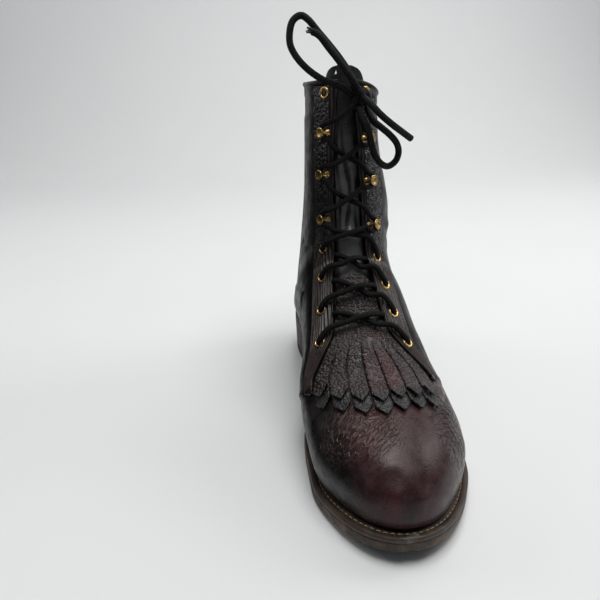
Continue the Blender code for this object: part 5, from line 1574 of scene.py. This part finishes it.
def braided(name):
    """Round black braid: two families of slanting strands that go over each other."""
    material, tree, shader = new_material(name)
    place = add_node(tree, "ShaderNodeUVMap", uv_map="run").outputs[0]
    parts = add_node(tree, "ShaderNodeSeparateXYZ", {0: place})
    along = math_node(tree, "MULTIPLY", parts.outputs[0], 2.6)
    round_it = math_node(tree, "MULTIPLY", parts.outputs[1], 7.0)
    strands = []
    for kind in ("ADD", "SUBTRACT"):
        phase = math_node(tree, "MULTIPLY", math_node(tree, kind, along, round_it), 2 * math.pi)
        strands.append(math_node(tree, "SINE", phase))
    braid = math_node(tree, "MAXIMUM", *strands)
    fuzz = noise(tree, own_place(tree), 2600.0, 3.0).outputs[0]
    # The strands' tops are painted lighter and the grooves between them darker: painted highlight and painted
    # shade.
    color = mix_color(tree, ramp(tree, braid, -0.2, 1.0), tuple(v * 0.35 for v in TONE["lace"]),
                      tuple(v * 1.3 for v in TONE["lace"]))
    color = mix_color(tree, ramp(tree, fuzz, 0.55, 0.8, 0.0, 0.25), color, (0.016, 0.016, 0.017))
    feed(tree, shader, {"Base Color": color, "Roughness": 0.62, "Specular IOR Level": 0.16})
    bump(tree, shader, math_node(tree, "ADD", braid, math_node(tree, "MULTIPLY", fuzz, 0.5)), 0.00018)
    return material


def worn_brass(name):
    material, tree, shader = new_material(name)
    place = own_place(tree)
    stain = noise(tree, place, 420.0, 4.0, 0.6).outputs[0]
    share = ramp(tree, stain, 0.50, 0.74, 0.0, 0.65)
    feed(tree, shader, {"Base Color": mix_color(tree, share, TONE["brass"], TONE["brass_dark"]), "Metallic": 1.0,
                        "Roughness": ramp(tree, stain, 0.35, 0.75, 0.22, 0.50)})
    bump(tree, shader, noise(tree, place, 1800.0, 2.0).outputs[0], 0.00003)
    return material


def sole_edge(name, dark, light, line_height, roughness):
    """Trimmed sole edge: fine level lines, stain that wears off in places, and dust."""
    material, tree, shader = new_material(name)
    place = own_place(tree)
    squash = add_node(tree, "ShaderNodeMapping", {"Vector": place, "Scale": (60.0, 60.0, 1500.0)}).outputs[0]
    lines = noise(tree, squash, 1.0, 4.0, 0.6).outputs[0]
    wear = noise(tree, place, 55.0, 5.0, 0.65).outputs[0]
    share = math_node(tree, "MULTIPLY", ramp(tree, wear, 0.38, 0.68), 0.75)
    share = math_node(tree, "ADD", share, ramp(tree, lines, 0.45, 0.75, 0.0, 0.25))
    dusty = use_group(tree, DUST, {"Color": mix_color(tree, share, dark, light), "Amount": 0.8, "Spacing": 6.0})
    feed(tree, shader, {"Base Color": dusty.outputs["Color"], "Roughness": roughness})
    bump(tree, shader, lines, line_height)
    return material


def plain_thread(name, tone):
    material, tree, shader = new_material(name)
    twist = noise(tree, own_place(tree), 900.0, 2.0).outputs[0]
    color = mix_color(tree, ramp(tree, twist, 0.35, 0.65), tuple(v * 0.55 for v in tone), tone)
    feed(tree, shader, {"Base Color": color, "Roughness": 0.8})
    bump(tree, shader, twist, 0.00006)
    return material


def studio():
    """Pale sweep, light tent and soft lamps."""
    material, tree, shader = new_material("paper_sweep")
    mottle = noise(tree, own_place(tree), 6.0, 2.0).outputs[0]
    feed(tree, shader, {"Base Color": mix_color(tree, mottle, (0.765, 0.785, 0.80), (0.795, 0.81, 0.82)),
                        "Roughness": 0.75})
    profile = [(-1.6, 0.0), (0.9, 0.0)]
    profile += [(0.9 + 0.5 * math.sin(a), 0.5 - 0.5 * math.cos(a)) for a in np.linspace(0.1, math.pi / 2, 14)]
    profile.append((1.4, 2.2))
    points = [(x, y, z) for y, z in profile for x in (-2.2, 2.2)]
    faces = [(2 * i, 2 * i + 1, 2 * i + 3, 2 * i + 2) for i in range(len(profile) - 1)]
    floor = mesh_object("paper_sweep", points, faces)
    floor.data.materials.append(material)
    card, tree, shader = new_material("black_card")
    feed(tree, shader, {"Base Color": (0.004, 0.004, 0.004), "Roughness": 0.9})
    corners = [(-0.082, y, z) for y, z in ((-0.20, 0.0), (0.34, 0.0), (0.34, 0.25), (-0.20, 0.16))]
    flag = mesh_object("black_card", corners, [(0, 1, 2, 3)])
    flag.data.materials.append(card)
    flag.visible_camera = flag.visible_diffuse = flag.visible_shadow = False
    world = bpy.data.worlds.new("light_tent")
    bpy.context.scene.world = world
    world.use_nodes = True
    tree = world.node_tree
    back = feed(tree, tree.nodes["Background"], {"Color": (0.90, 0.94, 1.0), "Strength": 0.12})
    seen = add_node(tree, "ShaderNodeBackground", {"Color": (0.66, 0.68, 0.70), "Strength": 1.0})
    rays = add_node(tree, "ShaderNodeLightPath").outputs["Is Camera Ray"]
    either = add_node(tree, "ShaderNodeMixShader", {0: rays, 1: back.outputs[0], 2: seen.outputs[0]})
    feed(tree, tree.nodes["World Output"], {"Surface": either.outputs[0]})
    for label, place, aim, size, power in (
            ("top_softbox", (0.05, -0.10, 1.30), (0, -0.02, 0.0), 0.75, 11.5),
            ("left_softbox", (-1.05, 0.45, 0.70), (0, 0, 0.12), 0.5, 1.9),
            ("right_softbox", (1.15, 0.20, 0.85), (0, 0, 0.12), 0.6, 4.2),
            ("back_softbox", (0.55, 0.80, 1.60), (0.55, 1.4, 0.7), 1.0, 10.0)):
        lamp = bpy.data.lights.new(label, "AREA")
        lamp.shape = "SQUARE"
        lamp.size = size
        lamp.energy = power
        lamp.color = (1.0, 0.985, 0.96)
        thing = bpy.data.objects.new(label, lamp)
        thing.location = place
        ahead = np.array(aim) - np.array(place)
        ahead = ahead / np.linalg.norm(ahead)
        thing.rotation_euler = (math.acos(-ahead[2]), 0, math.atan2(ahead[0], -ahead[1]) + math.pi)
        bpy.context.scene.collection.objects.link(thing)


# Making

bpy.context.scene.view_settings.view_transform = "Standard"
lace_pieces(braided("black_braid"), plain_thread("lace_core", (0.050, 0.048, 0.046)))
BURGUNDY, BLACK = TONE["burgundy"], TONE["black"]
RED_BROWN, BURGUNDY_LIGHT = TONE["burgundy_red"], TONE["burgundy_light"]
RIDGE_BROWN = (0.115, 0.070, 0.058)
# The upper's dark mask paints the medial shade black on the vamp and on the quarter.
VAMP = leather("worn_burgundy_leather", BURGUNDY, BURGUNDY_LIGHT, 1.0, 0.25, 0.25, 0.00016, 0.34, 0.5,
               (("edge", BLACK, 1.0), ("red", RED_BROWN, 0.55), ("dark", BLACK, 0.95)),
               (("medial_net", 36, 24, 4.2, 2.2, 0.00075, RIDGE_BROWN, 0.55),
                ("lateral_net", 48, -15, 2.0, 3.6, -0.00085, (0.006, 0.003, 0.003), 0.85)), lined=True)
QUARTER = leather("smooth_shaft_leather", BURGUNDY, BURGUNDY_LIGHT, 1.1, 0.12, 0.5, 0.00012, 0.38, 0.12,
                  (("edge", BLACK, 1.0), ("dark", BLACK, 0.8)), shine=0.10, lined=True)
upper_leather(VAMP, QUARTER)
# In these masks, crest is partly and pebble wholly a painted highlight on the facings.
FACING_MASKS = (("red", RED_BROWN, 0.5), ("dark", BLACK, 1.0), ("crest", (0.100, 0.074, 0.066), 0.80),
                ("pebble", (0.045, 0.036, 0.036), 0.3))
PEBBLED = leather("pebbled_dark_leather", BURGUNDY, BURGUNDY_LIGHT, 1.7, 1.0, 0.5, 0.00048, 0.30, 0.4,
                  FACING_MASKS, shine=0.55)
RIBBED = leather("ribbed_dark_leather", BURGUNDY, BURGUNDY_LIGHT, 1.3, 0.20, 0.3, 0.00012, 0.36, 0.4,
                 FACING_MASKS, shine=0.45)
for label, way in SIDES.items():
    facing_leather("facing_" + label, way, PEBBLED, RIBBED)
# The tongue is black leather; its grey base colour is a painted sheen, which the dark mask takes back to black.
tongue_leather(leather("smooth_black_leather", (0.100, 0.100, 0.102), (0.150, 0.150, 0.152), 1.1, 0.15, 0.5,
                       0.00016, 0.34, 0.3, (("dark", tuple(v * 0.4 for v in BLACK), 1.0),), shine=0.60))
UNDER = leather("dark_fringe_leather", (0.020, 0.018, 0.020), (0.034, 0.031, 0.034), 1.2, 0.7, 0.4, 0.00040, 0.42,
                0.4, (("tip", (0.022, 0.021, 0.023), 0.6),), shine=0.5)
TOP = leather("pebbled_fringe_leather", (0.034, 0.024, 0.024), (0.072, 0.055, 0.055), 1.7, 1.0, 0.5, 0.00090, 0.40,
              0.4, (("red", (0.090, 0.018, 0.022), 0.75), ("tip", (0.024, 0.021, 0.023), 0.8),
                    ("dark", (0.006, 0.004, 0.004), 1.0)), shine=0.50)
fringe_leather("kiltie_under", 0, UNDER, "black_leather")
fringe_leather("kiltie_top", 1, TOP, "burgundy_leather")
metal_pieces(worn_brass("worn_brass"))
sole_pieces(sole_edge("trimmed_edge", TONE["sole_dark"], TONE["sole_light"], 0.00020, 0.6),
            sole_edge("dark_welt", TONE["sole_dark"], TONE["sole"], 0.00015, 0.5),
            sole_edge("insole_surface", (0.10, 0.06, 0.035), (0.22, 0.14, 0.08), 0.00010, 0.7),
            sole_edge("stacked_heel", TONE["sole_dark"], TONE["sole"], 0.00025, 0.55),
            sole_edge("black_rubber", (0.012, 0.012, 0.012), (0.03, 0.03, 0.03), 0.00010, 0.8))
seam_pieces(plain_thread("pale_thread", TONE["thread"]), plain_thread("dark_thread", (0.045, 0.030, 0.026)))
studio()
